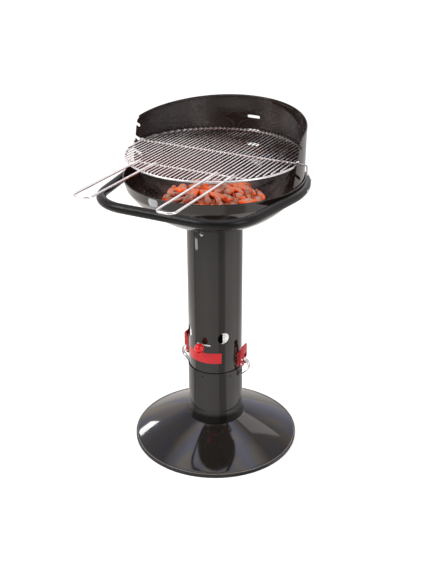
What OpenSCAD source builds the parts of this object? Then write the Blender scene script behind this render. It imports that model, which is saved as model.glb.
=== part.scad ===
// Charcoal grill on a column: dished foot, ash pot, column with an air valve, bowl, windshield,
// tube handle and a wire cooking grate. Millimetres, +Z up, front at -Y, ground at z = 0.
// Angles round the column are counted from the front towards +X.

/* [Foot] */
// Outer radius of the dish's lip
dish_r = 241; // [215:1:270]
// Sheet thickness of the dish
dish_wall = 1.5; // [1:0.1:2]
// Height of the dish's flat seat above the ground
dish_h = 79; // [60:1:110]
// How far the slope of the dish bulges above a straight line
dish_bulge = 2.5; // [1:0.1:6]
// Height of the edge trim
trim_h = 11; // [9:0.5:14]
// Thickness of the trim under the lip
trim_floor = 2.9; // [2:0.1:4]
// Thickness of the trim's outer wall
trim_wall = 2.4; // [1.5:0.1:4]

/* [Ash pot] */
// Height of the ash pot
pot_h = 167.4; // [150:0.2:200]
// Sheet thickness of the ash pot
pot_wall = 1.5; // [1:0.1:2]
// Clearance between the column and the pot's inside
pot_gap = 0.8; // [0.6:0.1:1.2]
// How far the pot's foot flares out
flare_w = 5.7; // [3:0.1:9]
// Height of the flare
flare_h = 37; // [20:1:60]
// Radius of the circle that the base bolts stand on
bolt_ring_r = 50; // [35:1:60]
// Radius of the base bolts
base_bolt_r = 3; // [2:0.5:4]
// Radius of the dimples that carry the column
dimple_r = 3.5; // [3:0.1:4.5]
// Half width of the catch slots
catch_half_w = 11; // [9:0.5:14]
// Height of the catch slots below the pot's edge
catch_drop = 23.4; // [21:0.2:30]

/* [Column] */
// Outer radius of the column
column_r = 78; // [74:0.5:84]
// Sheet thickness of the column
column_wall = 1.5; // [1:0.1:2]
// Length of the column
column_l = 454.4; // [420:0.2:520]
// How far the column reaches into the ash pot
column_overlap = 10.8; // [9:0.2:14]

/* [Air valve] */
// Radius of the air holes
air_hole_r = 17.5; // [12:0.5:20]
// Height of the air holes above the column's lower edge
air_hole_h = 124.4; // [110:0.2:150]
// Angle of the front air holes from the front, and of the rear ones from the back
air_hole_angle = 46; // [44:1:55]
// Angle that the valve ring turns to each side
air_turn = 15; // [8:1:16]
// Angle by which the ring's holes lie off the column's holes at rest
air_shift = 11; // [6:1:14]
// Sheet thickness of the valve ring
valve_wall = 1; // [0.6:0.1:1.5]
// Height of the knob's slot above the column's lower edge
slot_h = 101.4; // [95:0.2:104]
// Radius of the knob's stem
stem_r = 3; // [2:0.1:4]
// Radius of the ball knob
knob_r = 14; // [10:0.5:17]
// Distance from the column's surface to the ball's centre
knob_reach = 20.5; // [19:0.5:30]
// Height of the label band
label_h = 33; // [20:1:45]
// Height of the label band above the column's lower edge
label_lift = 44.4; // [35:0.2:48]
// Half of the angle that the label band covers
label_angle = 41; // [25:1:60]

/* [Latches] */
// Distance from the pot's surface to the lever pin
lever_pin_out = 11.2; // [10.6:0.1:12]
// Height of the lever pin above the hook's tip
lever_pin_up = 40; // [38:0.5:44]
// Radius of the lever pin
lever_pin_r = 2; // [1.5:0.1:2.5]
// Height of the lever above its pin
lever_l = 62; // [55:0.5:75]
// Height of the hook pin above the lever pin
hook_pin_up = 16; // [15:0.2:17]
// Radius of the hook pin
hook_pin_r = 1.5; // [1:0.1:2]
// Half width of the hook's strap
strap_half_w = 6.8; // [5:0.1:8]
// Thickness of the hook's strap
strap_wall = 2; // [1.2:0.1:2.2]
// Sheet thickness of the lever and of the latch's ears
latch_wall = 1.3; // [1:0.1:1.6]
// Thickness of the latch's base plate
plate_wall = 1.5; // [1:0.1:2]

/* [Bowl] */
// Outermost radius of the bowl, at its beaded rim
bowl_r = 247.6; // [235:0.2:265]
// Height of the bowl above the column's top edge
bowl_h = 139.8; // [125:0.2:160]
// Sheet thickness of the bowl
bowl_wall = 1.6; // [1:0.1:2]
// Height of the upright band under the rim
bowl_band_h = 28.8; // [26:0.2:40]
// How far the band leans outwards over its height
bowl_band_lean = 7; // [4:0.1:10]
// How far the round part of the bowl bulges below a straight line
bowl_bulge = 17.6; // [10:0.2:24]
// Radius of the rim's bead
bead_r = 1.8; // [1.2:0.1:2.2]
// How far the bowl's neck reaches into the column
neck_depth = 22; // [18:0.5:30]
// Depth of the neck screws below the column's top edge
neck_screw_drop = 12; // [9:0.5:14]

/* [Fire] */
// Radius of the fire grate, to the middle of its rim wire
fire_r = 155; // [120:1:170]
// Radius of the fire grate's rim wire
fire_rim_r = 2.5; // [2:0.1:3.5]
// Radius of the fire grate's wires
fire_wire_r = 2; // [1.5:0.1:2.5]
// Distance between the fire grate's wires
fire_pitch = 15; // [12:0.5:22]
// Height of the coal heap
heap_h = 56; // [40:1:70]

/* [Handle] */
// Outer radius of the handle tube
handle_r = 12.9; // [10:0.1:14]
// Wall of the handle tube
handle_wall = 1.5; // [1:0.1:2]
// Depth of the tube's middle below the bowl's rim
handle_drop = 21.1; // [19:0.1:24]
// Distance from the column's axis to the middle of the front bar
handle_reach = 296.2; // [285:0.2:330]
// Bend radius of the tube's front corners
handle_corner_r = 112.5; // [80:0.5:130]
// Angle by which the side arms run together towards the front
handle_converge = 8.7; // [6:0.1:10]
// Distance from the bowl's band to the tube's middle, at the sides
handle_stand = 6.2; // [5:0.1:8]
// Angle that the tube follows the bowl behind the sides
handle_wrap = 35; // [31:1:50]
// Radius of the long handle screws
handle_screw_r = 2.5; // [2:0.1:3]

/* [Windshield] */
// Sheet thickness of the windshield
shield_wall = 1.5; // [1:0.1:2]
// Angle by which the sheet leans outwards
shield_lean = 0.9; // [0.5:0.1:1.5]
// How far the sheet's foot reaches below the bowl's rim
shield_sink = 8.5; // [7:0.1:10]
// Height of the sheet above the rim at the sides
shield_side_h = 123.7; // [120:0.1:150]
// Height of the sheet above the rim at the back
shield_back_h = 157.3; // [150:0.1:190]
// How far the sheet's ends reach in front of the middle, at the rim
shield_front = 25; // [18:0.5:28]
// Angle by which the end edges lean back
shield_end_lean = 14.8; // [12:0.2:17]
// Radius of the sheet's upper corners
shield_corner_r = 15; // [8:0.5:20]
// Height of the hem along the top edge
hem_h = 8; // [5:0.5:10]
// Distance from the hem's ends to the sheet's ends
hem_start = 15; // [10:1:25]
// How far the hem stands proud of the sheet
hem_proud = 1.2; // [0.6:0.1:1.6]
// Height of the lowest grate level above the rim
level_lift = 15.9; // [14:0.1:20]
// Height from one grate level to the next
level_step = 40.8; // [34:0.1:41]
// Level that the cooking grate lies on
grate_level = 1; // [1:1:2]
// Distance from the middle back to the notches' seats
notch_y = 15.4; // [12:0.2:20]
// Angle by which the notches rise towards the front
notch_rise = 33; // [28:1:36]
// Width of the notches
notch_w = 7.8; // [7.4:0.1:8.4]
// Width of the slots at the back
back_slot_w = 39; // [30:1:50]
// Height of the slots at the back
back_slot_h = 8; // [7.6:0.1:10]

/* [Cooking grate] */
// Clearance between the grate's ring and the windshield
grate_gap = 2.3; // [1.5:0.1:5]
// Radius of the ring's wire
ring_wire_r = 2.8; // [2.4:0.1:3.2]
// Radius of the parallel wires
wire_r = 1.8; // [1.2:0.1:2.2]
// Distance between the parallel wires
wire_pitch = 11.9; // [11:0.1:16]
// Radius of the wires that lie across underneath
support_r = 2.5; // [2:0.1:2.8]
// Distance from the middle to the short wire under the handles' ends
front_wire_y = 157; // [140:1:170]
// Distance that the long cross wire's ends stand out beyond the ring
cross_out = 25; // [23:0.5:32]
// Length of the cross wire's bent ends
cross_drop = 27; // [15:0.5:27]
// Radius of the handle loops' wire
loop_r = 3; // [2:0.1:3.4]
// Distance from the middle to the tips of the handle loops
loop_reach = 461; // [380:1:520]
// Pitches from the middle to each loop's inner leg
loop_inner = 7.5; // [5.5:1:8.5]
// Pitches from the middle to each loop's outer leg
loop_outer = 11.5; // [10.5:1:12.5]
// Bend radius of the loops' corners
loop_corner_r = 17; // [10:0.5:20]

/* [Hidden] */
$fn = 96;

// Clearances: contact between fixed pieces, a running fit, faces of fixed pieces that lie apart,
// and a loose gap between pieces that move past each other
touch = 0.02;
fit = 0.05;
near = 0.3;
handle_clear = 0.6;
loose = 0.5;
// Overrun of every cut past the faces that it opens
over = 1;

enamel = "#1b1817";
satin_black = "#161616";
red = "#c8101a";
chrome = "#c9ccd0";
galvanised = "#a9acae";

// Foot and pot
seat_r = column_r + pot_gap + pot_wall + flare_w + 1;
lip_z = trim_floor + touch;
dish_edge = [dish_r - dish_wall, trim_h - 0.4];
pot_r = column_r + pot_gap + pot_wall;
pot_bottom = dish_h + touch;
pot_top = pot_bottom + pot_h;
column_bottom = pot_top - column_overlap;
column_top = column_bottom + column_l;
column_in = column_r - column_wall;
dimple_z = column_bottom - touch - sqrt(pow(dimple_r, 2) - pow(pot_r - column_r, 2));
base_bolt_angles = [60, 180, 300];
base_bolt_head_r = base_bolt_r * 2;
base_bolt_head_h = base_bolt_r * 1.2;
base_nut_h = base_bolt_r * 1.7;
base_nut_across = base_bolt_r * 10 / 3;

// Air valve
air_hole_z = column_bottom + air_hole_h;
air_hole_angles = [air_hole_angle, 180 - air_hole_angle, 180 + air_hole_angle, 360 - air_hole_angle];
slot_z = column_bottom + slot_h;
slot_half_h = stem_r + loose;
slot_half_angle = air_turn + asin(stem_r / column_r) + 0.4;
slot_end_r = slot_half_h - 0.3;
slot_end_angle = slot_half_angle - asin(slot_end_r / column_r);
valve_r = column_in - 0.35;
valve_in = valve_r - valve_wall;
valve_margin = 9;
valve_bottom = slot_z - valve_margin;
valve_top = air_hole_z + air_hole_r + valve_margin;
valve_split = 8;
stem_nut_across = stem_r * 10 / 3;
stem_nut_corner = stem_nut_across / sqrt(3);
stem_nut_h = stem_r * 1.4;
stem_nut_face = sqrt(pow(valve_in, 2) - pow(stem_nut_corner, 2)) - touch;
knob_y = column_r + knob_reach;
knob_bore_end = knob_y - knob_r * 0.25;
label_wall = 0.35;
label_gap = 0.1;

// Latches: places are [distance from the axis, height], right side
hook_z = pot_top - catch_drop;
catch_top = hook_z + strap_wall / 2 + near;
catch_bottom = hook_z - strap_wall / 2 - 2;
lever_pin = [pot_r + lever_pin_out, hook_z + lever_pin_up];
hook_pin = lever_pin + [2, hook_pin_up];
strap_middle = lever_pin + [-3.5, -6];
strap_r = norm(hook_pin - strap_middle);
strap_tip = pot_r - pot_wall - 3;
ear_y = strap_half_w + loose;
flange_y = ear_y + latch_wall + 0.4;
lever_y = flange_y + latch_wall;
ear_r = lever_pin_r + 4.5;
eye_r = hook_pin_r + 1.7;
pin_head = 0.9;
plate_r = column_r + fit;
plate_half_angle = asin((ear_y + latch_wall + 1.5) / column_r);
plate_drop = 12;
plate_rise = 33;
rivet_r = 1.6;
rivet_levels = [-9.5, 27];

// Bowl
rim_z = column_top + touch + bowl_h;
neck_r = column_in - near;
neck_in = neck_r - bowl_wall;
bowl_bottom = column_top + touch;
bowl_flat = [column_r + 2, bowl_bottom];
rim_end = [bowl_r - bead_r + bowl_wall / 2, rim_z - bead_r];
crease = [rim_end[0] - bowl_band_lean, rim_z - bowl_band_h];
bowl_curve = bulged(crease, bowl_flat, bowl_bulge);
crease_in = on_arc(bowl_curve, -bowl_wall, 0);
rim_end_in = rim_end - [bowl_wall, 0];
neck_screw_z = column_top - neck_screw_drop;
neck_screw_angles = [0, 120, 240];
neck_screw_r = 2.5;
neck_nut_across = 8;
neck_nut_corner = neck_nut_across / sqrt(3);

// Fire grate and coals
fire_z = bowl_curve[0][1]
    - sqrt(pow(bowl_curve[1] - bowl_wall - fire_rim_r - near, 2) - pow(fire_r - bowl_curve[0][0], 2));
fire_wire_z = fire_z + fire_rim_r + fire_wire_r - 0.4;
fire_wires = floor((fire_r - fire_rim_r) / fire_pitch);
heap_bottom = fire_wire_z + fire_wire_r + near;
heap_r = fire_r - 3;
lump_r = 13;
lump_rings = [1, 6, 12, 18];
lump_length = 17;

// Handle
handle_z = rim_z - handle_drop;
side_r = band_out(handle_z) + handle_stand;
corner_run = handle_corner_r * (1 - sin(handle_converge));
arm_l = (handle_reach - corner_run - side_r * sin(handle_converge)) / cos(handle_converge);
bar_half = (side_r - handle_corner_r) * cos(handle_converge) - arm_l * sin(handle_converge);
cap_angle = 0.6;
handle_screw_angles = [98, 117];
handle_nut_across = 8;
handle_nut_h = 4;

// Windshield
foot_z = rim_z - shield_sink;
foot_r = band_in(foot_z) - near;
shield_top = rim_z + shield_back_h;
shield_slope = (shield_back_h - shield_side_h) / shield_r(shield_top);
tab_bottom = rim_z - bowl_band_h + 2.5;
tab_angles = [93, 122];
level_z = [for (i = [0 : 2]) rim_z + level_lift + i * level_step];
slot_drop = 0.7;

// Cooking grate
seat_z = level_z[grate_level];
notch_dir = [-cos(notch_rise), sin(notch_rise)];
grate_z = seat_z - 1;
grate_r = shield_r(grate_z) - shield_wall - grate_gap - ring_wire_r;
ring_top = grate_z + ring_wire_r + touch;
wire_z = ring_top + wire_r;
wire_count = floor((grate_r - 2 * ring_wire_r) / wire_pitch);
support_z = ring_top - support_r;
cross_y = notch_y;
cross_seat_z = seat_z - notch_w / 2 + support_r + near;
cross_ring_x = sqrt(pow(grate_r, 2) - pow(cross_y, 2));
cross_hump = ring_wire_r + support_r + fit;
cross_bend_r = 4;
loop_z = ring_top + loop_r;
rear_wire_r = 1.8;
rear_half_w = 10;
rear_elbow_r = 3;
rear_z = level_z[grate_level] - slot_drop - back_slot_h / 2 + rear_wire_r + 0.8;
rear_y = shield_r(rear_z) + 0.4;

// Points on an arc
function arc(middle, r, from, to, n) =
    [for (i = [0 : n]) let (a = from + (to - from) * i / n) middle + r * [cos(a), sin(a)]];

// Arc from p to q that stands out by s to the left of the line: [middle, radius, start, end]
function bulged(p, q, s) =
    let (c = norm(q - p), r = (c * c / 4 + s * s) / (2 * s), d = (q - p) / c)
    let (o = (p + q) / 2 + [-d[1], d[0]] * (s - r))
    [o, r, atan2(p[1] - o[1], p[0] - o[0]), atan2(q[1] - o[1], q[0] - o[0])];

// Point on such an arc grown by off, at the share t of its turn
function on_arc(b, off, t) =
    let (a = b[2] + (b[3] - b[2]) * t) b[0] + (b[1] + off) * [cos(a), sin(a)];

// Outline of a strip of thickness t along a line of points
function strip(line, t) = concat(
    [for (i = [0 : len(line) - 1]) line[i] + side_of(line, i) * t / 2],
    [for (i = [len(line) - 1 : -1 : 0]) line[i] - side_of(line, i) * t / 2]);

function side_of(line, i) =
    let (a = line[max(i - 1, 0)], b = line[min(i + 1, len(line) - 1)], d = (b - a) / norm(b - a)) [-d[1], d[0]];

// Radius of the bowl's band at a height, outside and inside
function band_out(z) = crease[0] + (rim_end[0] - crease[0]) * (z - crease[1]) / (rim_end[1] - crease[1]);
function band_in(z) =
    crease_in[0] + (rim_end_in[0] - crease_in[0]) * (z - crease_in[1]) / (rim_end_in[1] - crease_in[1]);

// Outer radius of the windshield at a height, and the height of its top edge at a depth
function shield_r(z) = foot_r + (z - foot_z) * tan(shield_lean);
function shield_edge(y) = rim_z + shield_side_h + shield_slope * y;
function shield_end(z) = -shield_front + (z - rim_z) * tan(shield_end_lean);

module at(angle) rotate([0, 0, angle]) children();

module outwards(r, z) translate([0, -r, z]) rotate([90, 0, 0]) children();

module drill(r_from, r_to, z, r) outwards(r_from, z) cylinder(h = r_to - r_from, r = r);

module ring_part(r_in, r_out, z_from, z_to, from, to)
    rotate([0, 0, from - 90])
        rotate_extrude(angle = to - from)
            translate([r_in, z_from]) square([r_out - r_in, z_to - z_from]);

module upright(width) rotate([90, 0, 0]) linear_extrude(width, center = true) children();

module sideways(width)
    rotate([90, 0, 90]) linear_extrude(width, center = true) children();

module torus(r, wire, turn = 360) rotate_extrude(angle = turn) translate([r, 0]) circle(wire);

// Dome-head screw: the head stands on z = 0 and the shank goes down
module screw(head_r, head_h, r, length) {
    dome_r = (pow(head_r, 2) + pow(head_h, 2)) / (2 * head_h);
    dome = arc([0, head_h - dome_r], dome_r, asin((dome_r - head_h) / dome_r), 90, 6);
    rotate_extrude() polygon(concat([[0, -length], [r, -length], [r, 0]], dome));
}

// Hexagon nut that hangs down from z = 0
module nut(across, height, r) difference() {
    translate([0, 0, -height]) cylinder(h = height, r = across / sqrt(3), $fn = 6);
    translate([0, 0, -height - over]) cylinder(h = height + 2 * over, r = r + fit);
}

// Round bar from one point to another in a plane y = const
module pin(p, half_l, r) translate([p[0], 0, p[1]]) rotate([90, 0, 0]) cylinder(h = 2 * half_l, r = r, center = true);

module base_dish() color(enamel) difference() {
    slope = bulged([seat_r, dish_h], dish_edge, dish_bulge);
    rotate_extrude() polygon(concat(
        [[0, dish_h]],
        [for (i = [0 : 6]) on_arc(slope, 0, i / 6)],
        [[dish_r, dish_edge[1] - 2], [dish_r, lip_z], [dish_r - dish_wall, lip_z]],
        [[dish_r - dish_wall, dish_edge[1] - 2.8]],
        [for (i = [6 : -1 : 0]) on_arc(slope, -dish_wall, i / 6) - [i / 6, 0]],
        [[0, dish_h - dish_wall]]));
    for (a = base_bolt_angles)
        at(a) translate([0, -bolt_ring_r, dish_h - dish_wall - over])
            cylinder(h = dish_wall + 2 * over, r = base_bolt_r + fit);
}

module edge_trim() color("#0f0f0f") rotate_extrude() {
    groove_in = dish_r - dish_wall - 0.15;
    groove_out = dish_r + 0.15;
    trim_r = groove_out + trim_wall;
    polygon([
        [groove_in - 3.4, 0], [trim_r - 0.5, 0], [trim_r, 0.5], [trim_r, trim_h - 1.5],
        [trim_r - 1, trim_h], [groove_out, trim_h], [groove_out, trim_floor],
        [groove_in, trim_floor], [groove_in, trim_h - 4], [groove_in - 3.4, trim_h - 4]]);
}

module base_bolts() color(chrome)
    for (a = base_bolt_angles)
        at(a) translate([0, -bolt_ring_r, pot_bottom + pot_wall + touch])
            screw(base_bolt_head_r, base_bolt_head_h, base_bolt_r, pot_wall + dish_wall + base_nut_h + 2);

module base_nuts() color(chrome)
    for (a = base_bolt_angles)
        at(a) translate([0, -bolt_ring_r, dish_h - dish_wall - touch])
            nut(base_nut_across, base_nut_h, base_bolt_r);

module ash_pot() color(enamel) difference() {
    flare_r = (pow(flare_h, 2) + pow(flare_w, 2)) / (2 * flare_w);
    flare_turn = asin(flare_h / flare_r);
    floor_turn = asin((flare_h - pot_wall) / (flare_r + pot_wall));
    middle = [pot_r + flare_r, pot_bottom + flare_h];
    union() {
        difference() {
            rotate_extrude() polygon(concat(
                [[0, pot_bottom]],
                arc(middle, flare_r, 180 + flare_turn, 180, 8),
                [[pot_r, pot_top], [0, pot_top]]));
            difference() {
                rotate_extrude() polygon(concat(
                    [[0, pot_bottom + pot_wall]],
                    arc(middle, flare_r + pot_wall, 180 + floor_turn, 180, 8),
                    [[pot_r - pot_wall, pot_top + over], [0, pot_top + over]]));
                for (a = [0 : 60 : 300])
                    at(a) translate([0, -pot_r, dimple_z]) sphere(dimple_r);
            }
        }
        for (a = [90, 270])
            catch_lug(a);
    }
    for (a = [0 : 60 : 300])
        at(a) translate([0, -pot_r - 0.8, dimple_z]) sphere(dimple_r - 1);
    for (side = [-1, 1])
        translate([side * pot_r, 0, (catch_bottom + catch_top) / 2])
            cube([12, 2 * catch_half_w, catch_top - catch_bottom], center = true);
    for (a = base_bolt_angles)
        at(a) translate([0, -bolt_ring_r, pot_bottom - over])
            cylinder(h = pot_wall + 2 * over, r = base_bolt_r + fit);
}

// Pressed lug over a catch slot
module catch_lug(angle) {
    half = asin((catch_half_w + 1) / pot_r);
    rotate([0, 0, angle - 90 - half])
        rotate_extrude(angle = 2 * half)
            polygon([
                [pot_r - 0.4, catch_top + 10.2], [pot_r + 2.6, catch_top + 7.5], [pot_r + 3.7, catch_top + 4.5],
                [pot_r + 3.7, catch_top], [pot_r + 2.2, catch_top], [pot_r + 2.2, catch_top + 4],
                [pot_r - 0.4, catch_top + 8]]);
}

module column() color(enamel) difference() {
    translate([0, 0, column_bottom]) cylinder(h = column_l, r = column_r);
    translate([0, 0, column_bottom - over]) cylinder(h = column_l + 2 * over, r = column_in);
    for (a = air_hole_angles)
        at(a) drill(column_in - over, column_r + over, air_hole_z, air_hole_r);
    ring_part(column_in - over, column_r + over, slot_z - slot_half_h, slot_z + slot_half_h,
        -slot_end_angle, slot_end_angle);
    for (side = [-1, 1])
        at(side * slot_end_angle) drill(column_in - over, column_r + over, slot_z, slot_end_r);
    for (a = neck_screw_angles)
        at(a) drill(column_in - over, column_r + over, neck_screw_z, neck_screw_r + fit);
    for (a = [90, 270], level = rivet_levels)
        at(a) drill(column_in - over, column_r + over, lever_pin[1] + level, rivet_r + fit);
}

module label_band() color(red)
    ring_part(column_r + label_gap, column_r + label_gap + label_wall, column_bottom + label_lift,
        column_bottom + label_lift + label_h, -label_angle, label_angle);

module air_ring() color(galvanised) difference() {
    ring_part(valve_in, valve_r, valve_bottom, valve_top, -180 + valve_split, 180 - valve_split);
    for (a = air_hole_angles)
        at(a - air_shift) drill(valve_in - over, valve_r + over, air_hole_z, air_hole_r);
    drill(valve_in - over, valve_r + over, slot_z, stem_r + fit);
}

module knob_stem() color(chrome)
    drill(stem_nut_face - stem_nut_h - 1, knob_bore_end - touch, slot_z, stem_r);

module air_knob() color(red) difference() {
    translate([0, -knob_y, slot_z]) sphere(knob_r);
    drill(knob_y - knob_r - over, knob_bore_end, slot_z, stem_r + fit);
}

module knob_nut() color(chrome)
    outwards(stem_nut_face, slot_z) nut(stem_nut_across, stem_nut_h, stem_r);

module latch_base() {
    difference() {
        union() {
            ring_part(plate_r, plate_r + plate_wall, lever_pin[1] - plate_drop, lever_pin[1] + plate_rise,
                90 - plate_half_angle, 90 + plate_half_angle);
            for (side = [-1, 1])
                translate([0, side * (ear_y + latch_wall / 2), 0]) {
                    pin(lever_pin, latch_wall / 2, ear_r);
                    ear_foot();
                }
        }
        pin(lever_pin, lever_y, lever_pin_r + fit);
        for (level = rivet_levels)
            at(90) drill(column_r - over, column_r + plate_wall + 2, lever_pin[1] + level, rivet_r + fit);
    }
}

module ear_foot() {
    start = sqrt(pow(column_r + plate_wall / 2, 2) - pow(ear_y + latch_wall / 2, 2));
    translate([(start + lever_pin[0]) / 2, 0, lever_pin[1]])
        cube([lever_pin[0] - start, latch_wall, 2 * ear_r], center = true);
}

module latch_base_right() color(red) latch_base();

module latch_base_left() color(red) mirror([1, 0, 0]) latch_base();

module latch_rivets() color(chrome) {
    tail = sqrt(pow(column_in, 2) - 9) - touch;
    for (a = [90, 270], level = rivet_levels)
        at(a) {
            drill(tail - 1, plate_r + plate_wall + touch + 0.4, lever_pin[1] + level, rivet_r);
            drill(tail - 1.2, tail, lever_pin[1] + level, 3);
            outwards(plate_r + plate_wall + touch, lever_pin[1] + level) screw(3.2, 1.3, rivet_r, 0.5);
        }
}

// Pin with a thin head at both ends
module headed_pin(p, r) {
    pin(p, lever_y + touch + pin_head, r);
    for (side = [-1, 1])
        translate([0, side * (lever_y + touch + pin_head / 2), 0]) pin(p, pin_head / 2, r + 1.2);
}

module lever_pin_right() color(chrome) headed_pin(lever_pin, lever_pin_r);

module lever_pin_left() color(chrome) mirror([1, 0, 0]) headed_pin(lever_pin, lever_pin_r);

module hook_pin_right() color(chrome) headed_pin(hook_pin, hook_pin_r);

module hook_pin_left() color(chrome) mirror([1, 0, 0]) headed_pin(hook_pin, hook_pin_r);

// Lever: a pressed channel with an outer face above the hook and two flanges
module latch_lever() {
    back = -8.5;
    face = 7.1;
    outline = concat(
        [[-5.5, -8], [-2.5, -8], [1.5, -6.5], [4.5, -3]],
        [[3.4, 3], [3, 9], [3.8, 15], [face, 21]],
        [[face, lever_l - 2], [face - 2, lever_l], [3, lever_l], [0.5, lever_l - 3], [back, lever_l - 29], [back, -5]]);
    difference() {
        translate([lever_pin[0], 0, lever_pin[1]]) difference() {
            upright(2 * lever_y) polygon(outline);
            upright(2 * flange_y)
                polygon([[back - over, -10], [face - latch_wall, -10], [face - latch_wall, lever_l - 3],
                    [face - latch_wall - 1, lever_l - latch_wall], [back - over, lever_l - latch_wall]]);
            translate([face, 0, 21]) cube([4, 2 * (strap_half_w + 0.9), 28], center = true);
        }
        pin(lever_pin, lever_y + over, lever_pin_r + fit);
        pin(hook_pin, lever_y + over, hook_pin_r + fit);
    }
}

module latch_lever_right() color(red) latch_lever();

module latch_lever_left() color(red) mirror([1, 0, 0]) latch_lever();

// Hook: a sprung strap that bulges out from its eye and ends in a tip that enters the catch slot
module latch_hook() {
    start = atan2(hook_pin[1] - strap_middle[1], hook_pin[0] - strap_middle[0]) - 4;
    bend = strap_middle + strap_r * [cos(45), -sin(45)];
    heel = [bend[0] - (bend[1] - hook_z), hook_z];
    line = concat(arc(strap_middle, strap_r, start, -45, 14), [heel + [1.5, 1.5], heel - [0.6, 0], [strap_tip, hook_z]]);
    difference() {
        union() {
            upright(2 * strap_half_w) polygon(strip(line, strap_wall));
            pin(hook_pin, strap_half_w, eye_r);
        }
        pin(hook_pin, strap_half_w + over, hook_pin_r + fit);
        for (turn = [18, -48])
            translate([strap_middle[0], 0, strap_middle[1]]) rotate([0, -turn, 0])
                translate([strap_r, 0, 0]) cube([2 * strap_wall, strap_half_w, 7], center = true);
        translate([strap_middle[0], 0, strap_middle[1]]) rotate([0, 90 + 12, 0])
            translate([0, 0, strap_r - strap_wall]) cylinder(h = 2 * strap_wall, r = 1.5);
    }
}

module latch_hook_right() color(chrome) latch_hook();

module latch_hook_left() color(chrome) mirror([1, 0, 0]) latch_hook();

module bowl() color(enamel) difference() {
    rotate_extrude() polygon(concat(
        arc([bowl_r - bead_r, rim_z - bead_r], bead_r, 225, -50, 10),
        [for (i = [0 : 12]) on_arc(bowl_curve, 0, i / 12)],
        [[neck_r, bowl_bottom], [neck_r, bowl_bottom - neck_depth], [neck_in, bowl_bottom - neck_depth]],
        [[neck_in, bowl_bottom + bowl_wall]],
        [for (i = [12 : -1 : 0]) on_arc(bowl_curve, -bowl_wall, i / 12)]));
    for (a = neck_screw_angles)
        at(a) drill(neck_in - over, neck_r + over, neck_screw_z, neck_screw_r + fit);
    for (a = handle_screw_angles, side = [-1, 1])
        at(side * a) drill(crease_in[0] - 3, bowl_r + over, handle_z, handle_screw_r + fit);
}

module bowl_screws() color(chrome)
    for (a = neck_screw_angles)
        at(a) outwards(column_r + touch, neck_screw_z) screw(5, 3, neck_screw_r, column_r - neck_in + 8);

module bowl_nuts() color(chrome)
    for (a = neck_screw_angles)
        at(a) outwards(sqrt(pow(neck_in, 2) - pow(neck_nut_corner, 2)) - touch, neck_screw_z)
            nut(neck_nut_across, 4, neck_screw_r);

module fire_grate() color(galvanised) {
    translate([0, 0, fire_z]) torus(fire_r, fire_rim_r);
    for (i = [-fire_wires : fire_wires])
        translate([0, i * fire_pitch, fire_wire_z])
            rotate([0, 90, 0])
                cylinder(h = 2 * sqrt(pow(fire_r, 2) - pow(i * fire_pitch, 2)), r = fire_wire_r, center = true);
    for (x = [-0.5, 0.5])
        translate([x * fire_r, 0, fire_z])
            rotate([90, 0, 0])
                cylinder(h = 2 * sqrt(0.75) * fire_r, r = fire_rim_r, center = true);
}

// Heap of coals: rings of long lumps that lie closer to level towards the edge
module charcoal() color("#8a3b22") difference() {
    union() {
        translate([0, 0, heap_bottom - 4]) cylinder(h = heap_h * 0.55, r1 = heap_r - 6, r2 = heap_r * 0.6, $fn = 28);
        for (ring = [0 : 3], i = [0 : lump_rings[ring] - 1]) {
            r = (heap_r - lump_r - lump_length / 2) * ring / 3;
            turn = 360 * i / lump_rings[ring] + ring * 17;
            up = heap_bottom + (heap_h - lump_r) * (1 - pow(ring / 3, 2) * 0.68) - 4 * (i % 3);
            translate([r * sin(turn), -r * cos(turn), up])
                rotate([12 * (i % 2), 15 * (i % 3) - 15, turn + 40 * (i % 4)])
                    lump(lump_r - 1.5 * (i % 3));
        }
    }
    translate([0, 0, heap_bottom - 40]) cylinder(h = 40, r = heap_r + 20, $fn = 28);
}

module lump(r) hull()
    for (side = [-1, 1])
        translate([side * lump_length / 2, 0, side]) sphere(r - side, $fn = 8);

// Right half of the handle as a round bar of radius r, from start left of the middle, with a short
// sleeve over the weld between the corner bend and the arm
module handle_path(r, wrap, start) {
    translate([-start, -handle_reach, 0]) rotate([0, 90, 0]) cylinder(h = bar_half + start, r = r);
    translate([bar_half, handle_corner_r - handle_reach, 0])
        rotate([0, 0, -90]) torus(handle_corner_r, r, 90 - handle_converge);
    rotate([0, 0, -handle_converge]) {
        translate([side_r, 1 - arm_l, 0]) rotate([-90, 0, 0]) cylinder(h = arm_l - 1, r = r);
        translate([side_r, -fit - arm_l, 0]) rotate([-90, 0, 0]) cylinder(h = 1 + fit, r = r + touch);
        torus(side_r, r, handle_converge + wrap);
    }
}

// The bar without the part that the bowl, grown by off, takes up
module handle_body(r, wrap, start, off) difference() {
    translate([0, 0, handle_z]) handle_path(r, wrap, start);
    bowl_outside(off);
}

module bowl_outside(off) {
    low = handle_z - handle_r - 2;
    high = handle_z + handle_r + 2;
    translate([0, 0, low]) cylinder(h = high - low, r1 = band_out(low) + off, r2 = band_out(high) + off);
}

module handle_tube() color(satin_black)
    for (side = [0, 1])
        mirror([side, 0, 0]) difference() {
            handle_body(handle_r, handle_wrap, 0, handle_clear);
            handle_body(handle_r - handle_wall, handle_wrap + 1, over, handle_clear + handle_wall);
            for (a = handle_screw_angles)
                at(a) drill(bowl_r - 10, side_r + handle_r + over, handle_z, handle_screw_r + fit);
        }

module handle_caps() color("#101010")
    difference() {
        for (side = [0, 1])
            mirror([side, 0, 0])
                translate([0, 0, handle_z]) rotate([0, 0, handle_wrap + 0.01]) torus(side_r, handle_r, cap_angle);
        bowl_outside(handle_clear);
    }

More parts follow.
